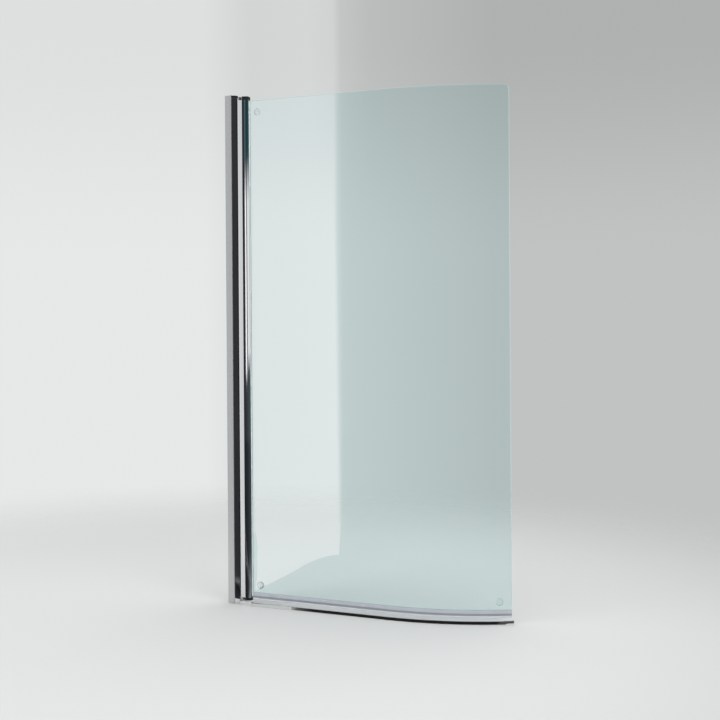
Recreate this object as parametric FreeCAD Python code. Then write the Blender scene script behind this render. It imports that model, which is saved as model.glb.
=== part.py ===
import FreeCAD, Part
import math
import os

os.makedirs("parts", exist_ok=True)

# A curved glass bath screen that swings on a post fixed to the wall. All sizes are in millimetres.
# X runs along the screen, away from the wall. Y points into the bath. Z is up.
# The origin lies on the wall, at the height of the bath rim, in the plane of the hinge and the flat glass.

# ---- Driving sizes -------------------------------------------------------------------------------

# Glass: flat from the hinge, then bowed towards the bath.
GLASS_HEIGHT = 1400.0
GLASS_THICK = 6.0
GLASS_FLAT = 426.0            # flat stretch, from the edge inside the hinge profile
BOW_RADIUS = 681.0            # of the middle of the glass
BOW_ANGLE = 28.0              # degrees
GLASS_CORNER = 12.0           # radius of the upper free corner
GLASS_ARRIS = 0.6             # ground chamfer on the long edges
RIM_GAP = 24.0                # bath rim to the lower edge of the glass

# Wall channel.
CHANNEL_DEPTH = 24.0          # across the legs, along Y
CHANNEL_REACH = 20.4          # leg length, along X
CHANNEL_WEB = 2.0
CHANNEL_LEG = 1.8
WALL_HOLE_RADIUS = 2.75
WALL_HOLE_FROM_END = 121.0    # outermost holes to the ends of the channel
WALL_HOLE_COUNT = 4

# Adjusting post.
POST_BACK = 8.0               # back of the post to the wall, room for screw heads
POST_WALL = 1.6
POST_SLIDE_GAP = 0.3          # post to channel leg, each side
POST_SHOULDER_GAP = 0.5       # channel lip to post shoulder
NOSE_INSET = 0.2              # nose half width, less than the channel's
NOSE_TIP_HALF = 4.5           # half width across the two tips of the socket
NOSE_TIP_FLAT = 0.4
SOCKET_WALL = 1.9             # behind the groove of the wiper
WIPER_HALF = 1.2
WIPER_GROOVE_DEPTH = 1.8
WIPER_SIDE_GAP = 0.1
WIPER_GAP = 0.3               # wiper to the round nose

# Pivot.
PIVOT_X = 41.5                # wall to pivot axis
HINGE_RADIUS = 7.2            # round nose of the hinge profile
SWING_GAP = 0.4               # round nose to the tips of the socket
PIN_RADIUS = 3.0
PIN_GRIP = 22.0               # length of pin in the bush
PIN_DOME = 1.35               # rounded end
PIN_PROUD = 0.6               # top pin above its eye
BUSH_WALL = 1.5
BUSH_RUN_GAP = 0.05           # pin to bush, radial
FLANGE_THICK = 1.0
FLANGE_INSET = 0.8            # edge of the flange inside the round nose
LIFT_PLAY = 0.3               # top flange to top eye
TOP_EYE_WALL = 1.8
TOP_EYE_HEIGHT = 8.5
TOP_ARM_HALF = 3.0
TOP_ARM_HEIGHT = 3.4          # where the arm leaves the post
TOP_ARM_RISE = 2.1            # of the arm's underside, up to the axis
TOP_ARM_SLOPE = 4.2           # length of that rise
TOP_ARM_CREST = 2.9           # level stretch of the arm before the axis
BOTTOM_EYE_HEIGHT = 9.9
BOTTOM_EYE_ROUND = 4.0
BOTTOM_EYE_FLOOR = 2.0
BOTTOM_ARM_HALF = 3.6
BOTTOM_ARM_LIFT = 2.4         # arm above the bottom of the eye
NOTCH_GAP = 0.5
BLOCK_HEIGHT = 34.0
BLOCK_GAP = 0.3
BLOCK_SCREW_INSET = 10.0      # screws to the ends of the block

# Hinge profile, beyond its round nose.
NECK_LENGTH = 11.4            # pivot axis to the end of the flat band
BODY_LENGTH = 19.6            # end of the band to the lip
BODY_HALF = 11.0              # half depth of the thick part
LIP_WALL = 1.6                # beside the slot
BODY_CROWN = 0.5              # rise of the curved face above its chord
BODY_EDGE = 1.1               # rounded edge beside the band
LIP_EDGE = 0.6
PROFILE_WALL = 1.6
SLOT_SIDE = 1.0               # glazing strip on each side of the glass
SLOT_DEPTH = 15.5
SIDE_HOLLOW_NOSE = 0.4        # blunt end of the hollow in the thick part
EDGE_STRIP = 1.5              # soft bed between slot floor and glass
PROFILE_BELOW_GLASS = 4.5
PROFILE_ABOVE_GLASS = 3.5
CAP_TOP_HEIGHT = 9.3
CAP_BOTTOM_HEIGHT = 7.5
CAP_ROUND = 3.0               # of the shoulder over the lip
CAP_PEG_LENGTH = 12.0
CAP_PEG_GAP = 0.25
CAP_SKIRT = 0.6
GLAZING_LIP = 2.0             # how far the glazing strips show beyond the profile
GLAZING_LIP_RISE = 0.6
GLAZING_LIP_TOE = 0.2

# Ends of the wall post.
TOP_ZONE = 14.5               # hinge profile top to channel top
POST_FOOT = 1.0
POST_CAP = 2.5
CHANNEL_CAP = 1.5
CHANNEL_CAP_EDGE = 0.75
CHANNEL_PLUG = 6.0
CAP_PLUG = 3.0

# Screws.
SCREW_RADIUS = 2.0
SCREW_HEAD_RADIUS = 3.6
SCREW_HEAD_HEIGHT = 2.4
SCREW_HEAD_ROUND = 1.2
SCREW_RECESS_RADIUS = 1.1
SCREW_RECESS_DEPTH = 1.4
BLOCK_SCREW_LENGTH = 10.0
FIXING_SCREW_LENGTH = 7.5
FIXING_FROM_END = 161.0       # outermost fixing screws to the ends of the channel
FIXING_COUNT = 3
FIXING_X = 14.0
SCREW_CAP_RADIUS = 6.0
SCREW_CAP_HEIGHT = 4.2
SCREW_CAP_WALL = 1.2

# Seal under the glass.
SEAL_GRIP = 11.0              # legs above the lower edge of the glass
SEAL_LEG = 1.0
SEAL_FIT = 0.05
SEAL_WEB = 1.4
SEAL_BULB_HALF = 3.2
SEAL_BULB_DROP = 9.5          # lower edge of the glass to the bottom of the bulb
SEAL_WALL = 0.9
SEAL_ROOF = 0.3               # between the web and the hollow of the bulb
SEAL_LEG_TAPER = 0.5
SEAL_FIN_OUT = 6.0            # reach of the deflector fin, into the bath
SEAL_FIN_DROP = 6.5
SEAL_FIN_THICK = 1.25
SEAL_START_GAP = 0.3

# Strip on the bath rim, outside the glass.
STRIP_WIDTH = 12.0
STRIP_FROM_HINGE = 0.8        # back of the strip to the side of the round nose
STRIP_CLEAR = 1.5             # top of the strip to the cap that swings over it
STRIP_TOP_FLAT = 2.8
STRIP_BACK_HEIGHT = 3.4
STRIP_EDGE = 0.8
STRIP_WALL = 1.2
TAPE_THICK = 1.0
TAPE_INSET = 1.0
STRIP_FROM_LIP = 5.5          # lip of the hinge profile to the start of the strip
BLOCK_FROM_AXIS = 2.5         # pivot axis to the start of the end block
END_BLOCK_PROUD = 0.8
END_BLOCK_RISE = 0.4
END_BLOCK_ROUND = 1.6
END_BLOCK_TONGUE = 8.0
END_BLOCK_FOOT_GAP = 0.3      # foot to the tips of the post
END_BLOCK_FOOT_DROP = 1.0     # foot to the bottom eye
TONGUE_GAP = 0.15
STRIP_CAP_LENGTH = 25.0
STRIP_CAP_WALL = 0.8
STRIP_CAP_FIT = 0.1
STRIP_CAP_END = 1.5

# Clear buttons on the glass.
BUTTON_RADIUS = 10.0
BUTTON_HEIGHT = 5.0
BUTTON_EDGE = 2.5
BUTTON_DIMPLE_RADIUS = 5.5
BUTTON_DIMPLE_DEPTH = 2.0
BUTTON_FROM_EDGE = 32.0       # above and below, and from the free edge
BUTTON_FROM_PROFILE = 24.0
BUTTON_BED = 0.3              # adhesive pad, left out

# ---- Places that follow from them ----------------------------------------------------------------

GLASS_LOW = RIM_GAP
GLASS_TOP = GLASS_LOW + GLASS_HEIGHT
GLASS_HALF = GLASS_THICK / 2
NECK_END = PIVOT_X + NECK_LENGTH
BODY_LIP_X = NECK_END + BODY_LENGTH
SLOT_FLOOR = BODY_LIP_X - SLOT_DEPTH
SLOT_HALF = GLASS_HALF + SLOT_SIDE
BODY_LIP_HALF = SLOT_HALF + LIP_WALL
GLASS_EDGE_X = SLOT_FLOOR + EDGE_STRIP
BOW_X = GLASS_EDGE_X + GLASS_FLAT
PROFILE_LOW = GLASS_LOW - PROFILE_BELOW_GLASS
PROFILE_TOP = GLASS_TOP + PROFILE_ABOVE_GLASS
CHANNEL_TOP = PROFILE_TOP + TOP_ZONE
CHANNEL_HALF = CHANNEL_DEPTH / 2
POST_HALF = CHANNEL_HALF - CHANNEL_LEG - POST_SLIDE_GAP
POST_TOP = CHANNEL_TOP - POST_CAP
SHOULDER_X = CHANNEL_REACH + POST_SHOULDER_GAP
NOSE_HALF = CHANNEL_HALF - NOSE_INSET
TIP_X = PIVOT_X - HINGE_RADIUS - SWING_GAP
SOCKET_RADIUS = math.hypot(PIVOT_X - TIP_X, NOSE_TIP_HALF)
WIPER_GROOVE_FLOOR = PIVOT_X - SOCKET_RADIUS - WIPER_GROOVE_DEPTH
CHAMBER_END = WIPER_GROOVE_FLOOR - SOCKET_WALL
BORE_RADIUS = PIN_RADIUS + BUSH_RUN_GAP + BUSH_WALL
FLANGE_RADIUS = HINGE_RADIUS - FLANGE_INSET
TOP_EYE_RADIUS = PIN_RADIUS + TOP_EYE_WALL
TOP_EYE_LOW = PROFILE_TOP + FLANGE_THICK + LIFT_PLAY
TOP_EYE_TOP = TOP_EYE_LOW + TOP_EYE_HEIGHT
BOTTOM_EYE_TOP = PROFILE_LOW - FLANGE_THICK
BOTTOM_EYE_LOW = BOTTOM_EYE_TOP - BOTTOM_EYE_HEIGHT
STRIP_BACK = HINGE_RADIUS + STRIP_FROM_HINGE
STRIP_FRONT = STRIP_BACK + STRIP_WIDTH
STRIP_HEIGHT = PROFILE_LOW - CAP_BOTTOM_HEIGHT - STRIP_CLEAR
STRIP_START_X = BODY_LIP_X + STRIP_FROM_LIP
BLOCK_START_X = PIVOT_X + BLOCK_FROM_AXIS
SLACK = 5.0                   # how far a cutting shape runs past what it cuts
SLACK_ANGLE = 1.0             # the same round the bow, in degrees
BITE = 1.0                    # how far a joined shape reaches into its neighbour
NEAR = 0.01                   # two places this close are the same


# ---- Drawing helpers -----------------------------------------------------------------------------

def outline(start, *steps):
    """A flat face. Each step is a corner (x, y), or two points, through and end, of an arc."""
    edges = []
    here = start
    for step in steps + (start,):
        is_arc = isinstance(step[0], tuple)
        end = step[1] if is_arc else step
        if math.dist(here, end) < NEAR / 1000:
            continue
        a, b = FreeCAD.Vector(*here), FreeCAD.Vector(*end)
        if is_arc:
            edges.append(Part.Arc(a, FreeCAD.Vector(*step[0]), b).toShape())
        else:
            edges.append(Part.LineSegment(a, b).toShape())
        here = end
    return Part.Face(Part.Wire(edges))


def prism(face, low, high):
    """A flat face in XY made solid from height low to height high."""
    solid = face.extrude(FreeCAD.Vector(0, 0, high - low))
    solid.translate(FreeCAD.Vector(0, 0, low))
    return solid


def block(x0, x1, y0, y1, z0, z1):
    return Part.makeBox(x1 - x0, y1 - y0, z1 - z0, FreeCAD.Vector(x0, y0, z0))


def rod(radius, length, base, direction=(0, 0, 1)):
    return Part.makeCylinder(radius, length, FreeCAD.Vector(*base), FreeCAD.Vector(*direction))


def across_glass(section, x):
    """Turn a section drawn as (distance into the bath, height) to stand across the glass at x."""
    face = section.copy()
    face.rotate(FreeCAD.Vector(0, 0, 0), FreeCAD.Vector(1, 1, 1), 120)
    face.translate(FreeCAD.Vector(x, 0, 0))
    return face


def along_bow(section, first=0.0, last=BOW_ANGLE):
    """Sweep a section round the bow of the glass, from one angle to another."""
    centre = FreeCAD.Vector(BOW_X, BOW_RADIUS, 0)
    up = FreeCAD.Vector(0, 0, 1)
    face = across_glass(section, BOW_X)
    face.rotate(centre, up, first)
    return face.revolve(centre, up, last - first)


def along_glass(section, start_x, last=BOW_ANGLE):
    """Sweep a section along the flat glass from start_x, and on round its bow."""
    flat = across_glass(section, start_x).extrude(FreeCAD.Vector(BOW_X - start_x, 0, 0))
    return flat.fuse(along_bow(section, 0.0, last)).removeSplitter()


def mirrored(shape):
    """The same shape on the other side of the hinge plane."""
    return shape.mirror(FreeCAD.Vector(0, 0, 0), FreeCAD.Vector(0, 1, 0))


def edges_where(shape, test):
    """The edges of a shape whose middle point passes a test."""
    return [edge for edge in shape.Edges if test(edge.CenterOfMass)]


def angle_for(length, radius):
    return math.degrees(length / radius)


def spread(from_end, count):
    """Heights of a row of screws or holes in the channel, evenly spaced between its two ends."""
    pitch = (CHANNEL_TOP - 2 * from_end) / (count - 1)
    return [from_end + pitch * i for i in range(count)]


def save(name, *solids):
    shape = solids[0] if len(solids) == 1 else Part.makeCompound(list(solids))
    if shape.ShapeType == "Compound" and len(shape.Solids) == 1:
        shape = shape.Solids[0]
    shape.exportStep("parts/%s.step" % name)
    print("%-24s solids %d  volume %12.1f  valid %s"
          % (name, len(shape.Solids), shape.Volume, shape.isValid()))


# ---- Wall channel --------------------------------------------------------------------------------

def wall_channel():
    inner = CHANNEL_HALF - CHANNEL_LEG
    solid = block(0, CHANNEL_REACH, -CHANNEL_HALF, CHANNEL_HALF, 0, CHANNEL_TOP)
    solid = solid.cut(block(CHANNEL_WEB, CHANNEL_REACH + SLACK, -inner, inner, -SLACK, CHANNEL_TOP + SLACK))
    for z in spread(WALL_HOLE_FROM_END, WALL_HOLE_COUNT):
        solid = solid.cut(rod(WALL_HOLE_RADIUS, CHANNEL_WEB + 2 * SLACK, (-SLACK, 0, z), (1, 0, 0)))
    for z in spread(FIXING_FROM_END, FIXING_COUNT):
        solid = solid.cut(rod(SCREW_RADIUS, CHANNEL_LEG + SLACK, (FIXING_X, inner - BITE, z), (0, 1, 0)))
    return solid


# ---- Adjusting post and the wiper in its socket --------------------------------------------------

def bevel_inner_y(x):
    """Inner face of the bevelled wall of the nose, at x."""
    slope = (NOSE_HALF - NOSE_TIP_HALF) / (TIP_X - SHOULDER_X)
    across = POST_WALL * math.sqrt(1 + slope * slope)
    return NOSE_HALF - across - slope * (x - SHOULDER_X)


def chamber_corner_x():
    """Where the straight wall of the chamber meets the bevelled one."""
    slope = (NOSE_HALF - NOSE_TIP_HALF) / (TIP_X - SHOULDER_X)
    straight = POST_HALF - POST_WALL
    return max(SHOULDER_X, SHOULDER_X + (bevel_inner_y(SHOULDER_X) - straight) / slope)


def post_outline():
    tip_side = NOSE_TIP_HALF + NOSE_TIP_FLAT
    return outline((POST_BACK, -POST_HALF), (SHOULDER_X, -POST_HALF), (SHOULDER_X, -NOSE_HALF),
                   (TIP_X - NOSE_TIP_FLAT, -tip_side), (TIP_X, -NOSE_TIP_HALF),
                   ((PIVOT_X - SOCKET_RADIUS, 0), (TIP_X, NOSE_TIP_HALF)),
                   (TIP_X - NOSE_TIP_FLAT, tip_side), (SHOULDER_X, NOSE_HALF),
                   (SHOULDER_X, POST_HALF), (POST_BACK, POST_HALF))


def chamber_outline(gap=0.0):
    """The post's hollow, or what fits it with a gap at the sides."""
    side = POST_HALF - POST_WALL - gap
    corner_x = chamber_corner_x()
    end_x = CHAMBER_END - gap
    end_y = bevel_inner_y(CHAMBER_END) - gap
    back_x = POST_BACK + POST_WALL
    return outline((back_x, -side), (corner_x, -side), (end_x, -end_y),
                   (end_x, end_y), (corner_x, side), (back_x, side))


def adjusting_post():
    solid = prism(post_outline(), POST_FOOT, POST_TOP)
    solid = solid.cut(prism(chamber_outline(), POST_FOOT - SLACK, POST_TOP + SLACK))
    groove = WIPER_HALF + WIPER_SIDE_GAP
    solid = solid.cut(block(WIPER_GROOVE_FLOOR, PIVOT_X, -groove, groove, -SLACK, POST_TOP + SLACK))
    low = BOTTOM_ARM_HALF + NOTCH_GAP
    solid = solid.cut(block(CHAMBER_END - BITE, PIVOT_X, -low, low, -SLACK, BOTTOM_EYE_TOP + NOTCH_GAP))
    high = TOP_ARM_HALF + NOTCH_GAP
    notch_low = TOP_EYE_LOW - NOTCH_GAP
    solid = solid.cut(block(CHAMBER_END - BITE, PIVOT_X, -high, high, notch_low, POST_TOP + SLACK))
    hole = POST_WALL + 2 * BITE
    for z in block_screw_heights():
        solid = solid.cut(rod(SCREW_RADIUS, hole, (POST_BACK - BITE, 0, z), (1, 0, 0)))
    for z in spread(FIXING_FROM_END, FIXING_COUNT):
        solid = solid.cut(rod(SCREW_RADIUS, hole, (FIXING_X, POST_HALF - POST_WALL - BITE, z), (0, 1, 0)))
    return solid


def hinge_wiper():
    tip = PIVOT_X - HINGE_RADIUS - WIPER_GAP
    face = outline((WIPER_GROOVE_FLOOR, -WIPER_HALF), (tip - WIPER_HALF, -WIPER_HALF),
                   ((tip, 0), (tip - WIPER_HALF, WIPER_HALF)), (WIPER_GROOVE_FLOOR, WIPER_HALF))
    return prism(face, BOTTOM_EYE_TOP + NOTCH_GAP, TOP_EYE_LOW - NOTCH_GAP)


# ---- Pivot blocks, pins, screws ------------------------------------------------------------------

def block_screw_heights():
    """Two screws in the bottom block, then two in the top one."""
    bottom, top = POST_FOOT + CAP_PLUG, POST_TOP - CAP_PLUG - BLOCK_HEIGHT
    insets = (BLOCK_SCREW_INSET, BLOCK_HEIGHT - BLOCK_SCREW_INSET)
    return [low + inset for low in (bottom, top) for inset in insets]


def with_screw_holes(solid, heights):
    back_x = POST_BACK + POST_WALL
    for z in heights:
        depth = BLOCK_SCREW_LENGTH - POST_WALL
        solid = solid.cut(rod(SCREW_RADIUS, depth + BITE, (back_x - BITE, 0, z), (1, 0, 0)))
    return solid


def top_pivot_block():
    high = POST_TOP - CAP_PLUG
    solid = prism(chamber_outline(BLOCK_GAP), high - BLOCK_HEIGHT, high)
    # The arm leaves the post low and rises to the eye.
    foot_x = CHAMBER_END - BLOCK_GAP - BITE
    arm_top = TOP_EYE_LOW + TOP_ARM_HEIGHT
    side = outline((foot_x, TOP_EYE_LOW), (PIVOT_X - TOP_ARM_SLOPE, TOP_EYE_LOW),
                   (PIVOT_X, TOP_EYE_LOW + TOP_ARM_RISE), (PIVOT_X, TOP_EYE_TOP),
                   (PIVOT_X - TOP_ARM_CREST, TOP_EYE_TOP), (TIP_X, arm_top), (foot_x, arm_top))
    side.rotate(FreeCAD.Vector(0, 0, 0), FreeCAD.Vector(1, 0, 0), 90)
    side.translate(FreeCAD.Vector(0, TOP_ARM_HALF, 0))
    solid = solid.fuse(side.extrude(FreeCAD.Vector(0, -2 * TOP_ARM_HALF, 0)))
    solid = solid.fuse(rod(TOP_EYE_RADIUS, TOP_EYE_HEIGHT, (PIVOT_X, 0, TOP_EYE_LOW)))
    solid = solid.cut(rod(PIN_RADIUS, TOP_EYE_HEIGHT + 2 * BITE, (PIVOT_X, 0, TOP_EYE_LOW - BITE)))
    return with_screw_holes(solid.removeSplitter(), block_screw_heights()[2:])


def bottom_pivot_block():
    low = POST_FOOT + CAP_PLUG
    solid = prism(chamber_outline(BLOCK_GAP), low, low + BLOCK_HEIGHT)
    solid = solid.fuse(block(CHAMBER_END - BLOCK_GAP - BITE, PIVOT_X, -BOTTOM_ARM_HALF, BOTTOM_ARM_HALF,
                             BOTTOM_EYE_LOW + BOTTOM_ARM_LIFT, BOTTOM_EYE_TOP))
    eye = rod(HINGE_RADIUS, BOTTOM_EYE_HEIGHT, (PIVOT_X, 0, BOTTOM_EYE_LOW))
    eye = eye.makeFillet(BOTTOM_EYE_ROUND, edges_where(eye, lambda p: abs(p.z - BOTTOM_EYE_LOW) < NEAR))
    solid = solid.fuse(eye)
    solid = solid.cut(rod(PIN_RADIUS, BOTTOM_EYE_HEIGHT, (PIVOT_X, 0, BOTTOM_EYE_LOW + BOTTOM_EYE_FLOOR)))
    return with_screw_holes(solid.removeSplitter(), block_screw_heights()[:2])


def pivot_pin(low, high, domed):
    """A pin on the pivot axis whose end at the height domed, low or high, is rounded."""
    pin = rod(PIN_RADIUS, high - low, (PIVOT_X, 0, low))
    return pin.makeFillet(PIN_DOME, edges_where(pin, lambda p: abs(p.z - domed) < NEAR))


def top_pivot_pin():
    high = TOP_EYE_TOP + PIN_PROUD
    return pivot_pin(PROFILE_TOP - PIN_GRIP, high, high)


def bottom_pivot_pin():
    high = PROFILE_LOW + PIN_GRIP
    return pivot_pin(BOTTOM_EYE_LOW + BOTTOM_EYE_FLOOR, high, high)


def pivot_bush(end, inward):
    """A flanged bush in the bore. Inward is +1 or -1, from the profile's end into it."""
    sleeve_low = min(end, end + inward * PIN_GRIP)
    flange_low = min(end, end - inward * FLANGE_THICK)
    solid = rod(BORE_RADIUS, PIN_GRIP, (PIVOT_X, 0, sleeve_low))
    solid = solid.fuse(rod(FLANGE_RADIUS, FLANGE_THICK, (PIVOT_X, 0, flange_low)))
    hole_low = min(sleeve_low, flange_low) - BITE
    hole = rod(PIN_RADIUS + BUSH_RUN_GAP, PIN_GRIP + FLANGE_THICK + 2 * BITE, (PIVOT_X, 0, hole_low))
    return solid.cut(hole).removeSplitter()


def pan_screw(length, seat, direction):
    """A pan-head screw whose head sits on the point seat and whose shank runs in direction."""
    way = FreeCAD.Vector(*direction)
    base = FreeCAD.Vector(*seat)
    head = Part.makeCylinder(SCREW_HEAD_RADIUS, SCREW_HEAD_HEIGHT, base, way * -1)
    crown = base - way * SCREW_HEAD_HEIGHT
    head = head.makeFillet(SCREW_HEAD_ROUND, edges_where(head, lambda p: abs((p - crown).dot(way)) < NEAR))
    recess = Part.makeCylinder(SCREW_RECESS_RADIUS, SCREW_RECESS_DEPTH, crown, way)
    return head.cut(recess).fuse(Part.makeCylinder(SCREW_RADIUS, length, base, way)).removeSplitter()


def pivot_block_screws():
    return [pan_screw(BLOCK_SCREW_LENGTH, (POST_BACK, 0, z), (1, 0, 0)) for z in block_screw_heights()]


def post_fixing_screws():
    heights = spread(FIXING_FROM_END, FIXING_COUNT)
    return [pan_screw(FIXING_SCREW_LENGTH, (FIXING_X, CHANNEL_HALF, z), (0, -1, 0)) for z in heights]


def screw_cover_caps():
    caps = []
    for z in spread(FIXING_FROM_END, FIXING_COUNT):
        cap = rod(SCREW_CAP_RADIUS, SCREW_CAP_HEIGHT, (FIXING_X, CHANNEL_HALF, z), (0, 1, 0))
        top_y = CHANNEL_HALF + SCREW_CAP_HEIGHT
        cap = cap.makeFillet(SCREW_CAP_WALL, edges_where(cap, lambda p: abs(p.y - top_y) < NEAR))
        hollow = rod(SCREW_CAP_RADIUS - SCREW_CAP_WALL, SCREW_CAP_HEIGHT - SCREW_CAP_WALL,
                     (FIXING_X, CHANNEL_HALF, z), (0, 1, 0))
        caps.append(cap.cut(hollow))
    return caps


# ---- End covers of channel and post --------------------------------------------------------------

def channel_top_cap():
    inner = CHANNEL_HALF - CHANNEL_LEG - POST_SLIDE_GAP
    cover = block(0, CHANNEL_REACH, -CHANNEL_HALF, CHANNEL_HALF, CHANNEL_TOP, CHANNEL_TOP + CHANNEL_CAP)
    top = CHANNEL_TOP + CHANNEL_CAP
    cover = cover.makeFillet(CHANNEL_CAP_EDGE, edges_where(cover, lambda p: p.z > top - NEAR and p.x > NEAR))
    plug = block(CHANNEL_WEB + POST_SLIDE_GAP, POST_BACK - POST_SLIDE_GAP, -inner, inner,
                 CHANNEL_TOP - CHANNEL_PLUG, CHANNEL_TOP)
    return cover.fuse(plug).removeSplitter()


def post_top_cap():
    cover = prism(post_outline(), POST_TOP, CHANNEL_TOP)
    plug = prism(chamber_outline(BLOCK_GAP), POST_TOP - CAP_PLUG, POST_TOP)
    return cover.fuse(plug).removeSplitter()


# ---- Hinge profile -------------------------------------------------------------------------------

def body_crown_point():
    """The point of the curved face midway between the band and the lip."""
    ax, ay = NECK_END + BODY_EDGE, BODY_HALF
    bx, by = BODY_LIP_X - LIP_EDGE, BODY_LIP_HALF
    chord = math.dist((ax, ay), (bx, by))
    return ((ax + bx) / 2 + BODY_CROWN * (ay - by) / chord, (ay + by) / 2 + BODY_CROWN * (bx - ax) / chord)


def round_corner(x, y, x_in, y_in):
    """The middle of a small quarter round, between a corner (x, y) and its inside (x_in, y_in)."""
    shift = 1 - math.sqrt(0.5)
    return (x + (x_in - x) * shift, y + (y_in - y) * shift)


def body_edges(side):
    """Steps from the band to the lip of the thick part, on one side (-1 or +1) of the hinge plane."""
    crown_x, crown_y = body_crown_point()
    edge_x, edge_y = NECK_END + BODY_EDGE, side * (BODY_HALF - BODY_EDGE)
    edge_mid = round_corner(NECK_END, side * BODY_HALF, edge_x, edge_y)
    lip_x, lip_y = BODY_LIP_X - LIP_EDGE, side * (BODY_LIP_HALF - LIP_EDGE)
    lip_mid = round_corner(BODY_LIP_X, side * BODY_LIP_HALF, lip_x, lip_y)
    return [(NECK_END, edge_y), (edge_mid, (edge_x, side * BODY_HALF)),
            ((crown_x, side * crown_y), (lip_x, side * BODY_LIP_HALF)), (lip_mid, (BODY_LIP_X, lip_y))]


def reversed_edges(steps):
    """The same steps walked the other way, from the lip back to the band."""
    points = [step[1] if isinstance(step[0], tuple) else step for step in steps]
    back = [points[-1]]
    for i in range(len(steps) - 1, 0, -1):
        step = steps[i]
        back.append((step[0], points[i - 1]) if isinstance(step[0], tuple) else points[i - 1])
    return back


def hinge_profile():
    outer = outline((PIVOT_X, -HINGE_RADIUS), (NECK_END, -HINGE_RADIUS), *body_edges(-1),
                    (BODY_LIP_X, -SLOT_HALF), (SLOT_FLOOR, -SLOT_HALF), (SLOT_FLOOR, SLOT_HALF),
                    (BODY_LIP_X, SLOT_HALF), *reversed_edges(body_edges(1)), (NECK_END, HINGE_RADIUS),
                    (PIVOT_X, HINGE_RADIUS), ((PIVOT_X - HINGE_RADIUS, 0), (PIVOT_X, -HINGE_RADIUS)))
    solid = prism(outer, PROFILE_LOW, PROFILE_TOP)
    length = PROFILE_TOP - PROFILE_LOW + 2 * SLACK
    solid = solid.cut(rod(BORE_RADIUS, length, (PIVOT_X, 0, PROFILE_LOW - SLACK)))
    solid = solid.cut(neck_hollow(0.0, PROFILE_LOW - SLACK, PROFILE_TOP + SLACK))
    hollow = side_hollow(PROFILE_LOW - SLACK, PROFILE_TOP + SLACK)
    return solid.cut(hollow).cut(mirrored(hollow))


def neck_hollow(gap, low, high):
    """The hollow between the bore and the slot, or a peg that fits it with a gap."""
    half = HINGE_RADIUS - PROFILE_WALL - gap
    start = PIVOT_X + BORE_RADIUS + 2 * PROFILE_WALL + gap
    return block(start, SLOT_FLOOR - PROFILE_WALL - gap, -half, half, low, high)


def side_hollow(low, high):
    """The tapering hollow between the slot's wall and the curved face, on the outer side."""
    ax, ay = NECK_END + BODY_EDGE, BODY_HALF
    bx, by = BODY_LIP_X - LIP_EDGE, BODY_LIP_HALF
    slope = (ay - by) / (bx - ax)
    floor = SLOT_HALF + PROFILE_WALL
    start = SLOT_FLOOR
    start_y = ay - slope * (start - ax) - PROFILE_WALL
    end_y = floor + SIDE_HOLLOW_NOSE
    end = start + (start_y - end_y) / slope
    return prism(outline((start, -floor), (start, -start_y), (end, -end_y), (end, -floor)), low, high)


def outer_glazing_strip():
    y0, y1 = GLASS_HALF, SLOT_HALF
    lip_x = BODY_LIP_X + GLAZING_LIP
    face = outline((SLOT_FLOOR, -y0), (SLOT_FLOOR, -y1), (BODY_LIP_X, -y1),
                   (BODY_LIP_X, -y1 - GLAZING_LIP_RISE), (lip_x, -y0 - GLAZING_LIP_TOE), (lip_x, -y0))
    return prism(face, GLASS_LOW, GLASS_TOP)


def inner_glazing_wedge():
    return mirrored(outer_glazing_strip())


def glass_edge_strip():
    return block(SLOT_FLOOR, GLASS_EDGE_X, -GLASS_HALF, GLASS_HALF, GLASS_LOW, GLASS_TOP)


def shoulder_waste(far, away):
    """What the round shoulder of a cap leaves off, over the lip. Far is the height of its end face."""
    middle_x = BODY_LIP_X - CAP_ROUND
    middle_z = far - away * CAP_ROUND
    half = BODY_HALF + BITE
    corner = block(middle_x, BODY_LIP_X + BITE, -half, half, *sorted((middle_z, far + away * BITE)))
    return corner.cut(rod(CAP_ROUND, 2 * half, (middle_x, -half, middle_z), (0, 1, 0)))


def profile_cap(end, away, height, tongue):
    """An end cap of the hinge profile. Away is +1 for the top end and -1 for the bottom end."""
    face = outline((NECK_END, -HINGE_RADIUS), *body_edges(-1),
                   *reversed_edges(body_edges(1)), (NECK_END, HINGE_RADIUS))
    low, high = sorted((end, end + away * height))
    solid = prism(face, low, high)
    solid = solid.cut(shoulder_waste(end + away * height, away))
    low, high = sorted((end, end + away * CAP_SKIRT))
    skirt = block(PIVOT_X, NECK_END, -HINGE_RADIUS, HINGE_RADIUS, low, high)
    solid = solid.fuse(skirt.cut(rod(FLANGE_RADIUS + NOTCH_GAP, CAP_SKIRT, (PIVOT_X, 0, low))))
    low, high = sorted((end, end - away * CAP_PEG_LENGTH))
    solid = solid.fuse(neck_hollow(CAP_PEG_GAP, low, high))
    low, high = sorted((end, end - away * tongue))
    side = SLOT_HALF - CAP_PEG_GAP
    solid = solid.fuse(block(SLOT_FLOOR + CAP_PEG_GAP, BODY_LIP_X - LIP_EDGE, -side, side, low, high))
    return solid.removeSplitter()


def profile_top_cap():
    return profile_cap(PROFILE_TOP, 1, CAP_TOP_HEIGHT, PROFILE_ABOVE_GLASS - CAP_PEG_GAP)


def profile_bottom_cap():
    return profile_cap(PROFILE_LOW, -1, CAP_BOTTOM_HEIGHT, PROFILE_BELOW_GLASS)


# ---- Glass and what is on it ---------------------------------------------------------------------

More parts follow.
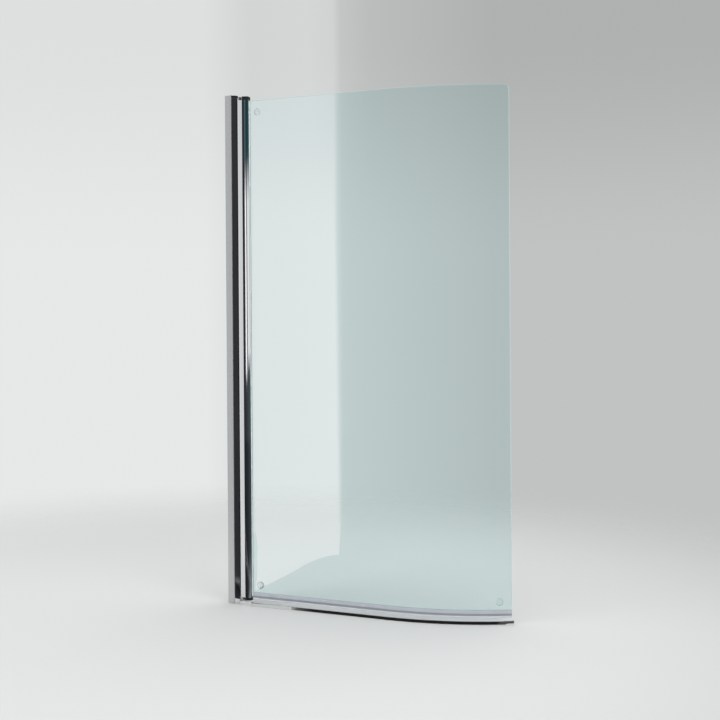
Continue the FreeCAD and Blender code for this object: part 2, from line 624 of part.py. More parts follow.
def glass_panel():
    h, a = GLASS_HALF, GLASS_ARRIS
    section = outline((-h, GLASS_LOW + a), (-h + a, GLASS_LOW), (h - a, GLASS_LOW), (h, GLASS_LOW + a),
                      (h, GLASS_TOP - a), (h - a, GLASS_TOP), (-h + a, GLASS_TOP), (-h, GLASS_TOP - a))
    solid = along_glass(section, GLASS_EDGE_X)
    return solid.cut(corner_waste())


def corner_waste():
    """What is ground off the upper free corner: a square less its inscribed round."""
    turn = angle_for(GLASS_CORNER, BOW_RADIUS)
    thick = outline((-GLASS_THICK, GLASS_TOP - GLASS_CORNER), (GLASS_THICK, GLASS_TOP - GLASS_CORNER),
                    (GLASS_THICK, GLASS_TOP + SLACK), (-GLASS_THICK, GLASS_TOP + SLACK))
    square = along_bow(thick, BOW_ANGLE - turn, BOW_ANGLE + turn)
    x, y, heading = on_bow(BOW_ANGLE - turn)
    way = FreeCAD.Vector(-math.sin(heading), math.cos(heading), 0)
    reach = GLASS_THICK + SLACK
    start = FreeCAD.Vector(x, y, GLASS_TOP - GLASS_CORNER) - way * reach
    return square.cut(Part.makeCylinder(GLASS_CORNER, 2 * reach, start, way))


def on_bow(angle):
    """Place and heading of the middle of the glass at an angle round the bow."""
    turn = math.radians(angle)
    return BOW_X + BOW_RADIUS * math.sin(turn), BOW_RADIUS * (1 - math.cos(turn)), turn


def bottom_seal():
    inner = GLASS_HALF + SEAL_FIT
    outer = inner + SEAL_LEG
    top = GLASS_LOW + SEAL_GRIP
    under = GLASS_LOW - SEAL_WEB
    bulb_low = GLASS_LOW - SEAL_BULB_DROP
    bulb = SEAL_BULB_HALF
    shoulder = bulb_low + bulb
    lip = top + SEAL_LEG_TAPER
    fin_tip, fin_low = outer + SEAL_FIN_OUT, under - SEAL_FIN_DROP
    section = outline((-inner, GLASS_LOW), (-inner, top), (-outer, lip), (-outer, under),
                      (-bulb, under), (-bulb, shoulder), ((0, bulb_low), (bulb, shoulder)), (bulb, under),
                      (outer, under), (fin_tip, fin_low), (fin_tip, fin_low + SEAL_FIN_THICK),
                      (outer, under + SEAL_FIN_THICK), (outer, lip), (inner, top), (inner, GLASS_LOW))
    inside = bulb - SEAL_WALL
    roof = under - SEAL_ROOF
    hollow = outline((-inside, roof), (-inside, shoulder), ((0, bulb_low + SEAL_WALL), (inside, shoulder)),
                     (inside, roof))
    return along_glass(section.cut(hollow).Faces[0], BODY_LIP_X + GLAZING_LIP + SEAL_START_GAP)


def button(x, y, heading, z):
    """A clear button on the bath side of the glass, dished in the middle."""
    way = FreeCAD.Vector(-math.sin(heading), math.cos(heading), 0)
    foot = FreeCAD.Vector(x, y, z) + way * (GLASS_HALF + BUTTON_BED)
    solid = Part.makeCylinder(BUTTON_RADIUS, BUTTON_HEIGHT, foot, way)
    top = foot + way * BUTTON_HEIGHT
    solid = solid.makeFillet(BUTTON_EDGE, edges_where(solid, lambda p: abs((p - top).dot(way)) < NEAR))
    ball = (BUTTON_DIMPLE_RADIUS ** 2 + BUTTON_DIMPLE_DEPTH ** 2) / (2 * BUTTON_DIMPLE_DEPTH)
    return solid.cut(Part.makeSphere(ball, top + way * (ball - BUTTON_DIMPLE_DEPTH)))


def bump_stops():
    near = (BODY_LIP_X + BUTTON_FROM_PROFILE, 0.0, 0.0)
    far = on_bow(BOW_ANGLE - angle_for(BUTTON_FROM_EDGE, BOW_RADIUS))
    low = GLASS_LOW + BUTTON_FROM_EDGE
    high = GLASS_TOP - BUTTON_FROM_EDGE
    return [button(*near, low), button(*near, high), button(*far, low)]


# ---- Strip on the bath rim -----------------------------------------------------------------------

def strip_outline(grow=0.0, base=TAPE_THICK):
    """Section of the strip, or of what sleeves over it when grown."""
    front = -STRIP_FRONT - grow
    back = -STRIP_BACK + grow
    top = STRIP_HEIGHT + grow
    round_x, round_z = front + STRIP_EDGE, top - STRIP_EDGE
    mid = round_corner(front, top, round_x, round_z)
    return outline((front, base), (back, base), (back, STRIP_BACK_HEIGHT + grow),
                   (-STRIP_FRONT + STRIP_TOP_FLAT, top), (round_x, top), (mid, (front, round_z)))


def strip_hollow(gap=0.0):
    """The hollow of the strip, or a tongue that fits it with a gap."""
    w = STRIP_WALL + gap
    low = TAPE_THICK + w
    slope = (STRIP_HEIGHT - STRIP_BACK_HEIGHT) / (STRIP_WIDTH - STRIP_TOP_FLAT)
    across = w * math.sqrt(1 + slope * slope)
    front = -STRIP_FRONT + w
    top = STRIP_HEIGHT - w
    bend = -STRIP_FRONT + STRIP_TOP_FLAT + (w - across) / slope
    toe = bend + (top - low) / slope
    return outline((front, low), (toe, low), (bend, top), (front, top))


def rim_strip():
    return along_glass(strip_outline(), STRIP_START_X).cut(
        along_glass(strip_hollow(), STRIP_START_X - SLACK, BOW_ANGLE + SLACK_ANGLE))


def rim_strip_tape():
    section = outline((-STRIP_FRONT + TAPE_INSET, 0), (-STRIP_BACK - TAPE_INSET, 0),
                      (-STRIP_BACK - TAPE_INSET, TAPE_THICK), (-STRIP_FRONT + TAPE_INSET, TAPE_THICK))
    return along_glass(section, STRIP_START_X)


def rim_strip_end_block():
    body = block(BLOCK_START_X, STRIP_START_X, -STRIP_FRONT - END_BLOCK_PROUD, -STRIP_BACK + END_BLOCK_PROUD,
                 0, STRIP_HEIGHT + END_BLOCK_RISE)
    edges = edges_where(body, lambda p: p.z > STRIP_HEIGHT and p.x < STRIP_START_X - NEAR)
    body = body.makeFillet(END_BLOCK_ROUND, edges)
    tongue = across_glass(strip_hollow(TONGUE_GAP), STRIP_START_X)
    tongue = tongue.extrude(FreeCAD.Vector(END_BLOCK_TONGUE, 0, 0))
    # A low foot runs under the bottom eye and meets the post, so that no water passes below the hinge.
    foot = block(TIP_X + END_BLOCK_FOOT_GAP, PIVOT_X + HINGE_RADIUS, -STRIP_BACK, HINGE_RADIUS,
                 0, BOTTOM_EYE_LOW - END_BLOCK_FOOT_DROP)
    return body.fuse(foot).fuse(tongue).removeSplitter()


def rim_strip_end_cap():
    middle = BOW_RADIUS + STRIP_FRONT
    turn = angle_for(STRIP_CAP_LENGTH, middle)
    wall_turn = angle_for(STRIP_CAP_END, middle)
    start = BOW_ANGLE - turn
    sleeve = along_bow(strip_outline(STRIP_CAP_FIT + STRIP_CAP_WALL, 0.0), start, BOW_ANGLE + wall_turn)
    inside = along_bow(strip_outline(STRIP_CAP_FIT, -BITE), start - SLACK_ANGLE, BOW_ANGLE)
    return sleeve.cut(inside)


# ---- Write the pieces ----------------------------------------------------------------------------

save("wall_channel", wall_channel())
save("adjusting_post", adjusting_post())
save("hinge_wiper", hinge_wiper())
save("top_pivot_block", top_pivot_block())
save("bottom_pivot_block", bottom_pivot_block())
save("top_pivot_pin", top_pivot_pin())
save("bottom_pivot_pin", bottom_pivot_pin())
save("pivot_block_screws", *pivot_block_screws())
save("post_fixing_screws", *post_fixing_screws())
save("screw_cover_caps", *screw_cover_caps())
save("channel_top_cap", channel_top_cap())
save("post_top_cap", post_top_cap())
save("rim_strip", rim_strip())
save("rim_strip_tape", rim_strip_tape())
save("rim_strip_end_block", rim_strip_end_block())
save("rim_strip_end_cap", rim_strip_end_cap())

save("hinge_profile", hinge_profile())
save("profile_top_cap", profile_top_cap())
save("profile_bottom_cap", profile_bottom_cap())
save("top_pivot_bush", pivot_bush(PROFILE_TOP, -1))
save("bottom_pivot_bush", pivot_bush(PROFILE_LOW, 1))
save("outer_glazing_strip", outer_glazing_strip())
save("inner_glazing_wedge", inner_glazing_wedge())
save("glass_edge_strip", glass_edge_strip())
save("glass_panel", glass_panel())
save("bottom_seal", bottom_seal())
save("bump_stops", *bump_stops())
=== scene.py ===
import math

import bmesh
import bpy
from mathutils import Matrix, Vector
from mathutils.geometry import tessellate_polygon


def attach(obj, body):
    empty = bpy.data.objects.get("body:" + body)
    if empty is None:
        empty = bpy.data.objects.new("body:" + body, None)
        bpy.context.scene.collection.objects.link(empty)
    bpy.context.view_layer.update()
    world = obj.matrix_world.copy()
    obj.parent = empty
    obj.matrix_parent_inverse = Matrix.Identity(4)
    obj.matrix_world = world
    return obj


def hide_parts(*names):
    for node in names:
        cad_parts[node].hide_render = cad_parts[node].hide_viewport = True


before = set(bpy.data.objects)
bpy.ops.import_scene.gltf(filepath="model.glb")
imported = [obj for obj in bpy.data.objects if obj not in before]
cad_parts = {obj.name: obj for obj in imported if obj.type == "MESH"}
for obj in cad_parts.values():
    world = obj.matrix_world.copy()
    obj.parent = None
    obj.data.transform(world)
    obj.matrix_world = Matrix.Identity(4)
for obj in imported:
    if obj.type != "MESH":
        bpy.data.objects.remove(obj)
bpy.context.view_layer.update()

# ---- Wall channel --------------------------------------------------------------------------------
# The U-shaped rail that is screwed upright to the wall. Drawn aluminium, polished and bright anodised.
# Four holes in its back take the wall screws, and three in its bath side the screws that hold the post.

MM = 0.001
CHANNEL_HALF = 12.0
CHANNEL_REACH = 20.4
CHANNEL_WEB = 2.0
CHANNEL_LEG = 1.8
CHANNEL_TOP = 1442.0
LEG_ROUND = 0.4
WEB_ROUND = 0.3
WALL_HOLE_RADIUS = 2.75
WALL_HOLE_DRILL = 8.0
WALL_HOLE_ROW = {"first": 121.0 * MM, "pitch": 400.0 * MM, "count": 4}
FIXING_X = 14.0
FIXING_DRILL = 6.0
FIXING_ROW = {"first": 161.0 * MM, "pitch": 560.0 * MM, "count": 3}
SHANK_RADIUS = 2.0
SHARP_ANGLE = 32.0


def arc(centre, radius, start, end, steps):
    """Points of an arc, its angles in degrees, both ends among them. Each keeps a corner radius of 0."""
    angles = [math.radians(start + (end - start) * i / steps) for i in range(steps + 1)]
    return [(centre[0] + radius * math.cos(a), centre[1] + radius * math.sin(a), 0.0) for a in angles]


def eased(corners, radius=0.25, steps=4):
    """A section (x, y) or (x, y, own radius) whose corners are drawn as small rounds."""
    points = []
    for i, corner in enumerate(corners):
        here = Vector(corner[:2])
        size = corner[2] if len(corner) > 2 else radius
        back = Vector(corners[i - 1][:2]) - here
        on = Vector(corners[(i + 1) % len(corners)][:2]) - here
        if size == 0:
            points.append(here)
            continue
        half = back.angle(on) / 2
        reach = min(size / math.tan(half), 0.45 * back.length, 0.45 * on.length)
        size = reach * math.tan(half)
        inwards = (back.normalized() + on.normalized()).normalized()
        middle = here + inwards * (size / math.sin(half))
        first = here + back.normalized() * reach - middle
        last = here + on.normalized() * reach - middle
        sweep = first.angle_signed(last)
        for k in range(steps + 1):
            points.append(middle + Matrix.Rotation(-sweep * k / steps, 2) @ first)
    return points


def drawn(name, loops, stations, upright=True):
    """A closed bar drawn from its section: the outside loop first, then its hollows.
    Its UV map "run" holds the way round the section and the way along the bar, in metres."""
    solid = bmesh.new()
    run = solid.loops.layers.uv.new("run")
    rings = []
    for station in stations:
        places = [(a, b, station) if upright else (station, a, b) for loop in loops for a, b in loop]
        rings.append([solid.verts.new(Vector(place) * MM) for place in places])
    base = 0
    for loop in loops:
        way = [0.0]
        for i in range(len(loop)):
            way.append(way[-1] + (Vector(loop[(i + 1) % len(loop)]) - Vector(loop[i])).length * MM)
        for here, there, low, high in zip(rings, rings[1:], stations, stations[1:]):
            for i in range(len(loop)):
                j = (i + 1) % len(loop)
                corners = (here[base + i], here[base + j], there[base + j], there[base + i])
                spots = ((way[i], low), (way[i + 1], low), (way[i + 1], high), (way[i], high))
                for corner, spot in zip(solid.faces.new(corners).loops, spots):
                    corner[run].uv = (spot[0], spot[1] * MM)
        base += len(loop)
    flat = [[Vector((*point, 0)) for point in loop] for loop in loops]
    for ring in (rings[0], rings[-1]):
        for triangle in tessellate_polygon(flat):
            solid.faces.new([ring[i] for i in triangle])
    bmesh.ops.recalc_face_normals(solid, faces=solid.faces)
    return piece_of(name, solid)


def piece_of(name, solid):
    """Make an object of a bmesh."""
    shape = bpy.data.meshes.new(name)
    solid.to_mesh(shape)
    solid.free()
    piece = bpy.data.objects.new(name, shape)
    bpy.context.scene.collection.objects.link(piece)
    return piece


def settled(piece):
    """Make a plain mesh of a piece and its modifiers."""
    graph = bpy.context.evaluated_depsgraph_get()
    shape = bpy.data.meshes.new_from_object(piece.evaluated_get(graph), preserve_all_data_layers=True,
                                            depsgraph=graph)
    piece.modifiers.clear()
    piece.data = shape
    return piece


def add_node(tree, kind, feeds=None, **settings):
    """Add a node and return its outputs. A feed is a value, an output to link, or a list of outputs."""
    made = tree.nodes.new(kind)
    for name, value in settings.items():
        setattr(made, name, value)
    for name, value in (feeds or {}).items():
        for source in value if isinstance(value, list) else [value]:
            if isinstance(source, bpy.types.NodeSocket):
                tree.links.new(source, made.inputs[name])
            else:
                made.inputs[name].default_value = source
    return made.outputs


def maths(tree, operation, *values):
    """The result of a sum on values or outputs."""
    return add_node(tree, "ShaderNodeMath", dict(enumerate(values)), operation=operation)["Value"]


def ranged(tree, value, low, high, to=(0.0, 1.0), smooth=False):
    """Where a value is on its way from low to high, as 0 to 1 or between two other levels."""
    feeds = {"Value": value, "From Min": low, "From Max": high, "To Min": to[0], "To Max": to[1]}
    shape = "SMOOTHSTEP" if smooth else "LINEAR"
    return add_node(tree, "ShaderNodeMapRange", feeds, interpolation_type=shape)["Result"]


def new_group(kind, name, takes, gives):
    """A node group with named inputs {name: (socket type, default)} and outputs {name: socket type}."""
    tree = bpy.data.node_groups.new(name, kind)
    for label, (socket_type, default) in takes.items():
        socket = tree.interface.new_socket(label, in_out="INPUT", socket_type=socket_type)
        if default is not None:
            socket.default_value = default
    for label, socket_type in gives.items():
        tree.interface.new_socket(label, in_out="OUTPUT", socket_type=socket_type)
    return tree, tree.nodes.new("NodeGroupInput").outputs, tree.nodes.new("NodeGroupOutput").inputs


def piece_tree(name, sizes):
    """A Geometry Nodes tree that takes a piece, these sizes and a material, and gives a piece."""
    takes = {"Geometry": ("NodeSocketGeometry", None), **sizes, "Finish": ("NodeSocketMaterial", None)}
    return new_group("GeometryNodeTree", name, takes, {"Geometry": "NodeSocketGeometry"})


def give_piece(tree, geometry, take, give):
    """Lead geometry out of a tree, its instances made real and its material set."""
    whole = add_node(tree, "GeometryNodeRealizeInstances", {"Geometry": geometry})
    dressed = add_node(tree, "GeometryNodeSetMaterial", {"Geometry": whole["Geometry"],
                                                         "Material": take["Finish"]})
    tree.links.new(dressed["Geometry"], give["Geometry"])


def work(piece, tree, **values):
    """Run a Geometry Nodes tree on a piece with these sizes, and keep the result as a plain mesh."""
    step = piece.modifiers.new(tree.name, "NODES")
    step.node_group = tree
    sockets = {item.name: item.identifier for item in tree.interface.items_tree if item.in_out == "INPUT"}
    for label, value in values.items():
        step[sockets[label.replace("_", " ").title()]] = value
    return settled(piece)


# Heights of a row of screws or holes: Count of them a Pitch apart, the whole row repeated for Groups.
ROW_SIZES = {"First": ("NodeSocketFloat", 0.0), "Pitch": ("NodeSocketFloat", 0.1),
             "Count": ("NodeSocketInt", 1), "Group Pitch": ("NodeSocketFloat", 1.0),
             "Groups": ("NodeSocketInt", 1)}
heights, take, give = new_group("GeometryNodeTree", "heights_up_the_rail", ROW_SIZES,
                                {"Points": "NodeSocketGeometry"})
start, step, leap = [add_node(heights, "ShaderNodeCombineXYZ", {"Z": take[label]})["Vector"]
                     for label in ("First", "Pitch", "Group Pitch")]
row = add_node(heights, "GeometryNodeMeshLine", {"Count": take["Count"], "Start Location": start,
                                                 "Offset": step})
groups = add_node(heights, "GeometryNodeMeshLine", {"Count": take["Groups"], "Offset": leap})
spread = add_node(heights, "GeometryNodeInstanceOnPoints", {"Points": groups["Mesh"],
                                                            "Instance": row["Mesh"]})
single = add_node(heights, "GeometryNodeRealizeInstances", {"Geometry": spread["Instances"]})
heights.links.new(single["Geometry"], give["Points"])

# A row of round holes bored through a rail.
bored, take, give = piece_tree("bored_up_the_rail", {
    **ROW_SIZES, "Radius": ("NodeSocketFloat", 0.002), "Depth": ("NodeSocketFloat", 0.01),
    "Centre": ("NodeSocketVector", (0, 0, 0)), "Turn": ("NodeSocketVector", (0, 0, 0))})
drill = add_node(bored, "GeometryNodeMeshCylinder", {"Vertices": 32, "Radius": take["Radius"],
                                                     "Depth": take["Depth"]})
aimed = add_node(bored, "GeometryNodeTransform", {"Geometry": drill["Mesh"], "Translation": take["Centre"],
                                                  "Rotation": take["Turn"]})
row = add_node(bored, "GeometryNodeGroup", {label: take[label] for label in ROW_SIZES}, node_tree=heights)
drills = add_node(bored, "GeometryNodeInstanceOnPoints", {"Points": row["Points"],
                                                          "Instance": aimed["Geometry"]})
waste = add_node(bored, "GeometryNodeRealizeInstances", {"Geometry": drills["Instances"]})
cut = add_node(bored, "GeometryNodeMeshBoolean", {"Mesh 1": take["Geometry"], "Mesh 2": waste["Geometry"]},
               operation="DIFFERENCE")
give_piece(bored, cut["Mesh"], take, give)


def mask_group(name, sizes, gives):
    """A shader group that takes a place and these sizes {name: default}, and gives masks."""
    takes = {"Vector": ("NodeSocketVector", (0, 0, 0))}
    takes.update({label: ("NodeSocketFloat", size) for label, size in sizes.items()})
    return new_group("ShaderNodeTree", name, takes, {label: "NodeSocketFloat" for label in gives})


# Faint lines that the die leaves along a drawn bar, from its "run" map.
die_lines, take, give = mask_group("die_lines", {"Fineness": 4000.0, "Length": 1.5}, ("Height", "Tone"))
spot = add_node(die_lines, "ShaderNodeSeparateXYZ", {"Vector": take["Vector"]})
stretched = add_node(die_lines, "ShaderNodeCombineXYZ", {
    "X": maths(die_lines, "MULTIPLY", spot["X"], take["Fineness"]),
    "Y": maths(die_lines, "MULTIPLY", spot["Y"], take["Length"])})
lines = add_node(die_lines, "ShaderNodeTexNoise", {"Vector": stretched["Vector"], "Scale": 1.0,
                                                   "Detail": 3.0}, noise_dimensions="2D")
die_lines.links.new(lines["Fac"], give["Height"])
die_lines.links.new(ranged(die_lines, lines["Fac"], 0.38, 0.68, smooth=True), give["Tone"])

# Dried drops where a cloth has missed them: a mask that is nothing on most of the surface.
handling, take, give = mask_group("handling_marks", {"Drops": 60.0, "Smears": 9.0}, ("Drop Mask",))
cells = add_node(handling, "ShaderNodeTexVoronoi", {"Vector": take["Vector"], "Scale": take["Drops"]},
                 feature="F1")
drops = ranged(handling, cells["Distance"], 0.16, 0.10, smooth=True)
patches = add_node(handling, "ShaderNodeTexNoise", {"Vector": take["Vector"], "Scale": take["Smears"],
                                                    "Detail": 4.0, "Distortion": 1.2})
missed = ranged(handling, patches["Fac"], 0.5, 0.72, smooth=True)
handling.links.new(maths(handling, "MULTIPLY", drops, missed), give["Drop Mask"])


def new_finish(name, **sockets):
    """A material with these plain values on its shader, its tree and its shader."""
    finish = bpy.data.materials.new(name)
    finish.use_nodes = True
    shader = finish.node_tree.nodes["Principled BSDF"]
    for label, value in sockets.items():
        shader.inputs[label.replace("_", " ")].default_value = value
    return finish, finish.node_tree, shader


def blended(tree, mask, low, high, socket):
    """Lead a mask to a shader socket, as a number or a colour between low and high."""
    if isinstance(low, tuple):
        mix = add_node(tree, "ShaderNodeMix", {"Factor": mask, "A": (*low, 1), "B": (*high, 1)},
                       data_type="RGBA")["Result"]
    else:
        mix = ranged(tree, mask, 0.0, 1.0, to=(low, high))
    tree.links.new(mix, socket)


def raised(tree, height, shader, strength, depth):
    """Lead a height to a shader's normal; depth is in metres."""
    bump = add_node(tree, "ShaderNodeBump", {"Height": height, "Strength": strength, "Distance": depth})
    tree.links.new(bump["Normal"], shader.inputs["Normal"])


def drawn_metal(name, dull, bright, roughness, marks):
    """Drawn and polished aluminium: die lines along the bar, faint dried drops."""
    finish, tree, shader = new_finish(name, Metallic=1.0)
    run = add_node(tree, "ShaderNodeUVMap", uv_map="run")["UV"]
    lines = add_node(tree, "ShaderNodeGroup", {"Vector": run}, node_tree=die_lines)
    place = add_node(tree, "ShaderNodeTexCoord")["Object"]
    smudge = add_node(tree, "ShaderNodeGroup", {"Vector": place}, node_tree=handling)
    blended(tree, lines["Tone"], dull, bright, shader.inputs["Base Color"])
    drops = maths(tree, "MULTIPLY", smudge["Drop Mask"], marks)
    sheen = maths(tree, "MULTIPLY_ADD", lines["Tone"], roughness * 0.5, roughness)
    tree.links.new(maths(tree, "ADD", drops, sheen), shader.inputs["Roughness"])
    raised(tree, lines["Height"], shader, strength=0.04, depth=0.00002)
    return finish


def fitted(piece, finish, body, slot, *stands_for):
    """Give a piece its material and smooth its rounds, then fix it to its body in the place of CAD nodes."""
    piece.data.materials.clear()
    piece.data.materials.append(finish)
    piece.data.shade_smooth()
    piece.data.set_sharp_from_angle(angle=math.radians(SHARP_ANGLE))
    even = piece.modifiers.new("even_shading", "WEIGHTED_NORMAL")
    even.keep_sharp = True
    even.weight = 100
    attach(piece, body)
    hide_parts(*stands_for)


channel_metal = drawn_metal("bright_anodised", (0.61, 0.615, 0.625), (0.645, 0.65, 0.655), roughness=0.16,
                            marks=0.12)
inner = CHANNEL_HALF - CHANNEL_LEG
channel_section = eased([(0, -CHANNEL_HALF), (CHANNEL_REACH, -CHANNEL_HALF, LEG_ROUND),
                         (CHANNEL_REACH, -inner, LEG_ROUND), (CHANNEL_WEB, -inner, WEB_ROUND),
                         (CHANNEL_WEB, inner, WEB_ROUND), (CHANNEL_REACH, inner, LEG_ROUND),
                         (CHANNEL_REACH, CHANNEL_HALF, LEG_ROUND), (0, CHANNEL_HALF)])
channel = drawn("channel_rail", [channel_section], (0, CHANNEL_TOP))
work(channel, bored, **WALL_HOLE_ROW, radius=WALL_HOLE_RADIUS * MM, depth=WALL_HOLE_DRILL * MM,
     centre=(0, 0, 0), turn=(0, math.pi / 2, 0), finish=channel_metal)
work(channel, bored, **FIXING_ROW, radius=SHANK_RADIUS * MM, depth=FIXING_DRILL * MM,
     centre=(FIXING_X * MM, CHANNEL_HALF * MM, 0), turn=(math.pi / 2, 0, 0), finish=channel_metal)
fitted(channel, channel_metal, "wall_post", "bright_aluminium", "wall_channel")

# ---- Adjusting post and its wiper ----------------------------------------------------------------
# The hollow bar that slides in the channel, so that a wall out of true is made up. Its bevelled nose ends
# in a hollow socket in which the hinge turns. A soft black wiper, pushed in a groove there, stops the water.

POST_BACK = 8.0
POST_HALF = 9.9
POST_WALL = 1.6
POST_LOW = 1.0
POST_TOP = 1439.5
SHOULDER_X = 20.9
NOSE_HALF = 11.8
NOSE_ROUND = 0.3
SHOULDER_ROUND = 0.15
TIP_X = 33.9
TIP_HALF = 4.5
TIP_FLAT = 0.4
PIVOT_X = 41.5
GROOVE_X = 30.87
GROOVE_HALF = 1.3
CHAMBER_END = 28.97
CHAMBER_END_HALF = 5.43
CHAMBER_CORNER = 23.86
NOTCH_START = 27.97
NOTCH_END = 45.0
LOW_NOTCH = (4.1, -5.0, 19.0)
TOP_NOTCH = (3.5, 1428.3, 1450.0)
BLOCK_DRILL = 4.0
BLOCK_ROW = {"first": 14.0 * MM, "pitch": 14.0 * MM, "count": 2, "group_pitch": 1398.5 * MM, "groups": 2}


def cut_away(piece, waste):
    """Cut the shape of another piece out of this one, and throw the other away."""
    step = piece.modifiers.new("cut", "BOOLEAN")
    step.operation = "DIFFERENCE"
    step.solver = "EXACT"
    step.object = waste
    settled(piece)
    bpy.data.objects.remove(waste)


axis = (PIVOT_X, 0)
socket_radius = math.hypot(PIVOT_X - TIP_X, TIP_HALF)
tip_turn = math.degrees(math.asin(TIP_HALF / socket_radius))
groove_turn = math.degrees(math.asin(GROOVE_HALF / socket_radius))
post_section = [(POST_BACK, -POST_HALF), (SHOULDER_X, -POST_HALF, SHOULDER_ROUND),
                (SHOULDER_X, -NOSE_HALF, NOSE_ROUND), (TIP_X - TIP_FLAT, -TIP_HALF - TIP_FLAT, 0)]
post_section += arc(axis, socket_radius, 180 + tip_turn, 180 + groove_turn, 8)
post_section += [(GROOVE_X, -GROOVE_HALF, 0), (GROOVE_X, GROOVE_HALF, 0)]
post_section += arc(axis, socket_radius, 180 - groove_turn, 180 - tip_turn, 8)
post_section += [(TIP_X - TIP_FLAT, TIP_HALF + TIP_FLAT, 0), (SHOULDER_X, NOSE_HALF, NOSE_ROUND),
                 (SHOULDER_X, POST_HALF, SHOULDER_ROUND), (POST_BACK, POST_HALF)]
chamber = [(POST_BACK + POST_WALL, -POST_HALF + POST_WALL), (CHAMBER_CORNER, -POST_HALF + POST_WALL),
           (CHAMBER_END, -CHAMBER_END_HALF), (CHAMBER_END, CHAMBER_END_HALF),
           (CHAMBER_CORNER, POST_HALF - POST_WALL), (POST_BACK + POST_WALL, POST_HALF - POST_WALL)]
post_metal = drawn_metal("bright_polished", (0.82, 0.825, 0.835), (0.85, 0.855, 0.86), roughness=0.045,
                         marks=0.10)
post = drawn("post_bar", [eased(post_section), eased(chamber)], (POST_LOW, POST_TOP))
notches = bmesh.new()
for half, low, high in (LOW_NOTCH, TOP_NOTCH):
    near, far = Vector((NOTCH_START, -half, low)), Vector((NOTCH_END, half, high))
    place = Matrix.Translation((near + far) / 2 * MM) @ Matrix.Diagonal((*((far - near) * MM), 1))
    bmesh.ops.create_cube(notches, size=1.0, matrix=place)
cut_away(post, piece_of("waste", notches))
work(post, bored, **BLOCK_ROW, radius=SHANK_RADIUS * MM, depth=BLOCK_DRILL * MM,
     centre=(POST_BACK * MM, 0, 0), turn=(0, math.pi / 2, 0), finish=post_metal)
fitted(post, post_metal, "wall_post", "bright_aluminium", "adjusting_post")

# Grain of a moulded piece: fine pits for its height and a soft mottle for its tone.
moulded, take, give = mask_group("moulded_grain", {"Grain": 2500.0, "Mottle": 90.0}, ("Height", "Tone"))
pits, cloud = [add_node(moulded, "ShaderNodeTexNoise", {"Vector": take["Vector"], "Scale": take[label],
                                                        "Detail": detail})["Fac"]
               for label, detail in (("Grain", 2.0), ("Mottle", 3.0))]
moulded.links.new(pits, give["Height"])
moulded.links.new(ranged(moulded, cloud, 0.35, 0.65, smooth=True), give["Tone"])


def moulded_finish(name, dark, light, smooth, rough, grain, depth, mottle=90.0, relief=0.3, **sockets):
    """A moulded or cast surface: two near tones, two near roughnesses and a fine grain."""
    finish, tree, shader = new_finish(name, **sockets)
    place = add_node(tree, "ShaderNodeTexCoord")["Object"]
    skin = add_node(tree, "ShaderNodeGroup", {"Vector": place, "Grain": grain, "Mottle": mottle},
                    node_tree=moulded)
    blended(tree, skin["Tone"], dark, light, shader.inputs["Base Color"])
    blended(tree, skin["Tone"], smooth, rough, shader.inputs["Roughness"])
    raised(tree, skin["Height"], shader, relief, depth)
    return finish


def dress(finish, *nodes):
    """Give CAD nodes whose shape is right their material."""
    for name in nodes:
        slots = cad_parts[name].data.materials
        slots.clear()
        slots.append(finish)


black_rubber = moulded_finish("black_rubber", (0.016, 0.016, 0.017), (0.024, 0.024, 0.025), smooth=0.48,
                              rough=0.62, grain=1800.0, depth=0.00005)
dress(black_rubber, "hinge_wiper")

# ---- Pivot blocks and pins -----------------------------------------------------------------------
# A die-cast block, chromed, in each end of the post carries an arm and an eye over or under the hinge.
# A stainless pin pressed in each eye is the pivot. Their edges are broken by the tumbling before plating.

WELD = 0.000001
FLAT_ANGLE = 0.5
EDGE_ANGLE = 35.0


def eased_copy(node, name, width):
    """A copy of a CAD piece with its sharp edges slightly rounded."""
    solid = bmesh.new()
    solid.from_mesh(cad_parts[node].data)
    bmesh.ops.remove_doubles(solid, verts=solid.verts, dist=WELD)
    bmesh.ops.dissolve_limit(solid, angle_limit=math.radians(FLAT_ANGLE), verts=solid.verts,
                             edges=solid.edges)
    piece = piece_of(name, solid)
    old_normals = piece.data.attributes.get("custom_normal")
    if old_normals:
        piece.data.attributes.remove(old_normals)
    ease = piece.modifiers.new("eased_edges", "BEVEL")
    ease.width = width * MM
    ease.segments = 2
    ease.limit_method = "ANGLE"
    ease.angle_limit = math.radians(EDGE_ANGLE)
    ease.use_clamp_overlap = True
    return settled(piece)


chromed_casting = moulded_finish("chromed_casting", (0.52, 0.525, 0.535), (0.62, 0.625, 0.635), smooth=0.20,
                                 rough=0.28, grain=700.0, depth=0.00002, Metallic=1.0)
for node, name in (("top_pivot_block", "top_pivot_casting"), ("bottom_pivot_block", "bottom_pivot_casting")):
    fitted(eased_copy(node, name, 0.3), chromed_casting, "wall_post", "chromed_casting", node)

# Turned steel: fine rings round the axis of the pin.
stainless, tree, shader = new_finish("stainless_steel", Metallic=1.0)
place = add_node(tree, "ShaderNodeTexCoord")["Object"]
spot = add_node(tree, "ShaderNodeSeparateXYZ", {"Vector": place})
rings = add_node(tree, "ShaderNodeCombineXYZ", {"X": spot["Z"], "Y": spot["X"]})["Vector"]
turned = add_node(tree, "ShaderNodeGroup", {"Vector": rings, "Fineness": 6000.0, "Length": 30.0},
                  node_tree=die_lines)
blended(tree, turned["Tone"], (0.56, 0.55, 0.53), (0.68, 0.67, 0.65), shader.inputs["Base Color"])
blended(tree, turned["Tone"], 0.18, 0.30, shader.inputs["Roughness"])
raised(tree, turned["Height"], shader, strength=0.3, depth=0.00002)
dress(stainless, "top_pivot_pin", "bottom_pivot_pin")

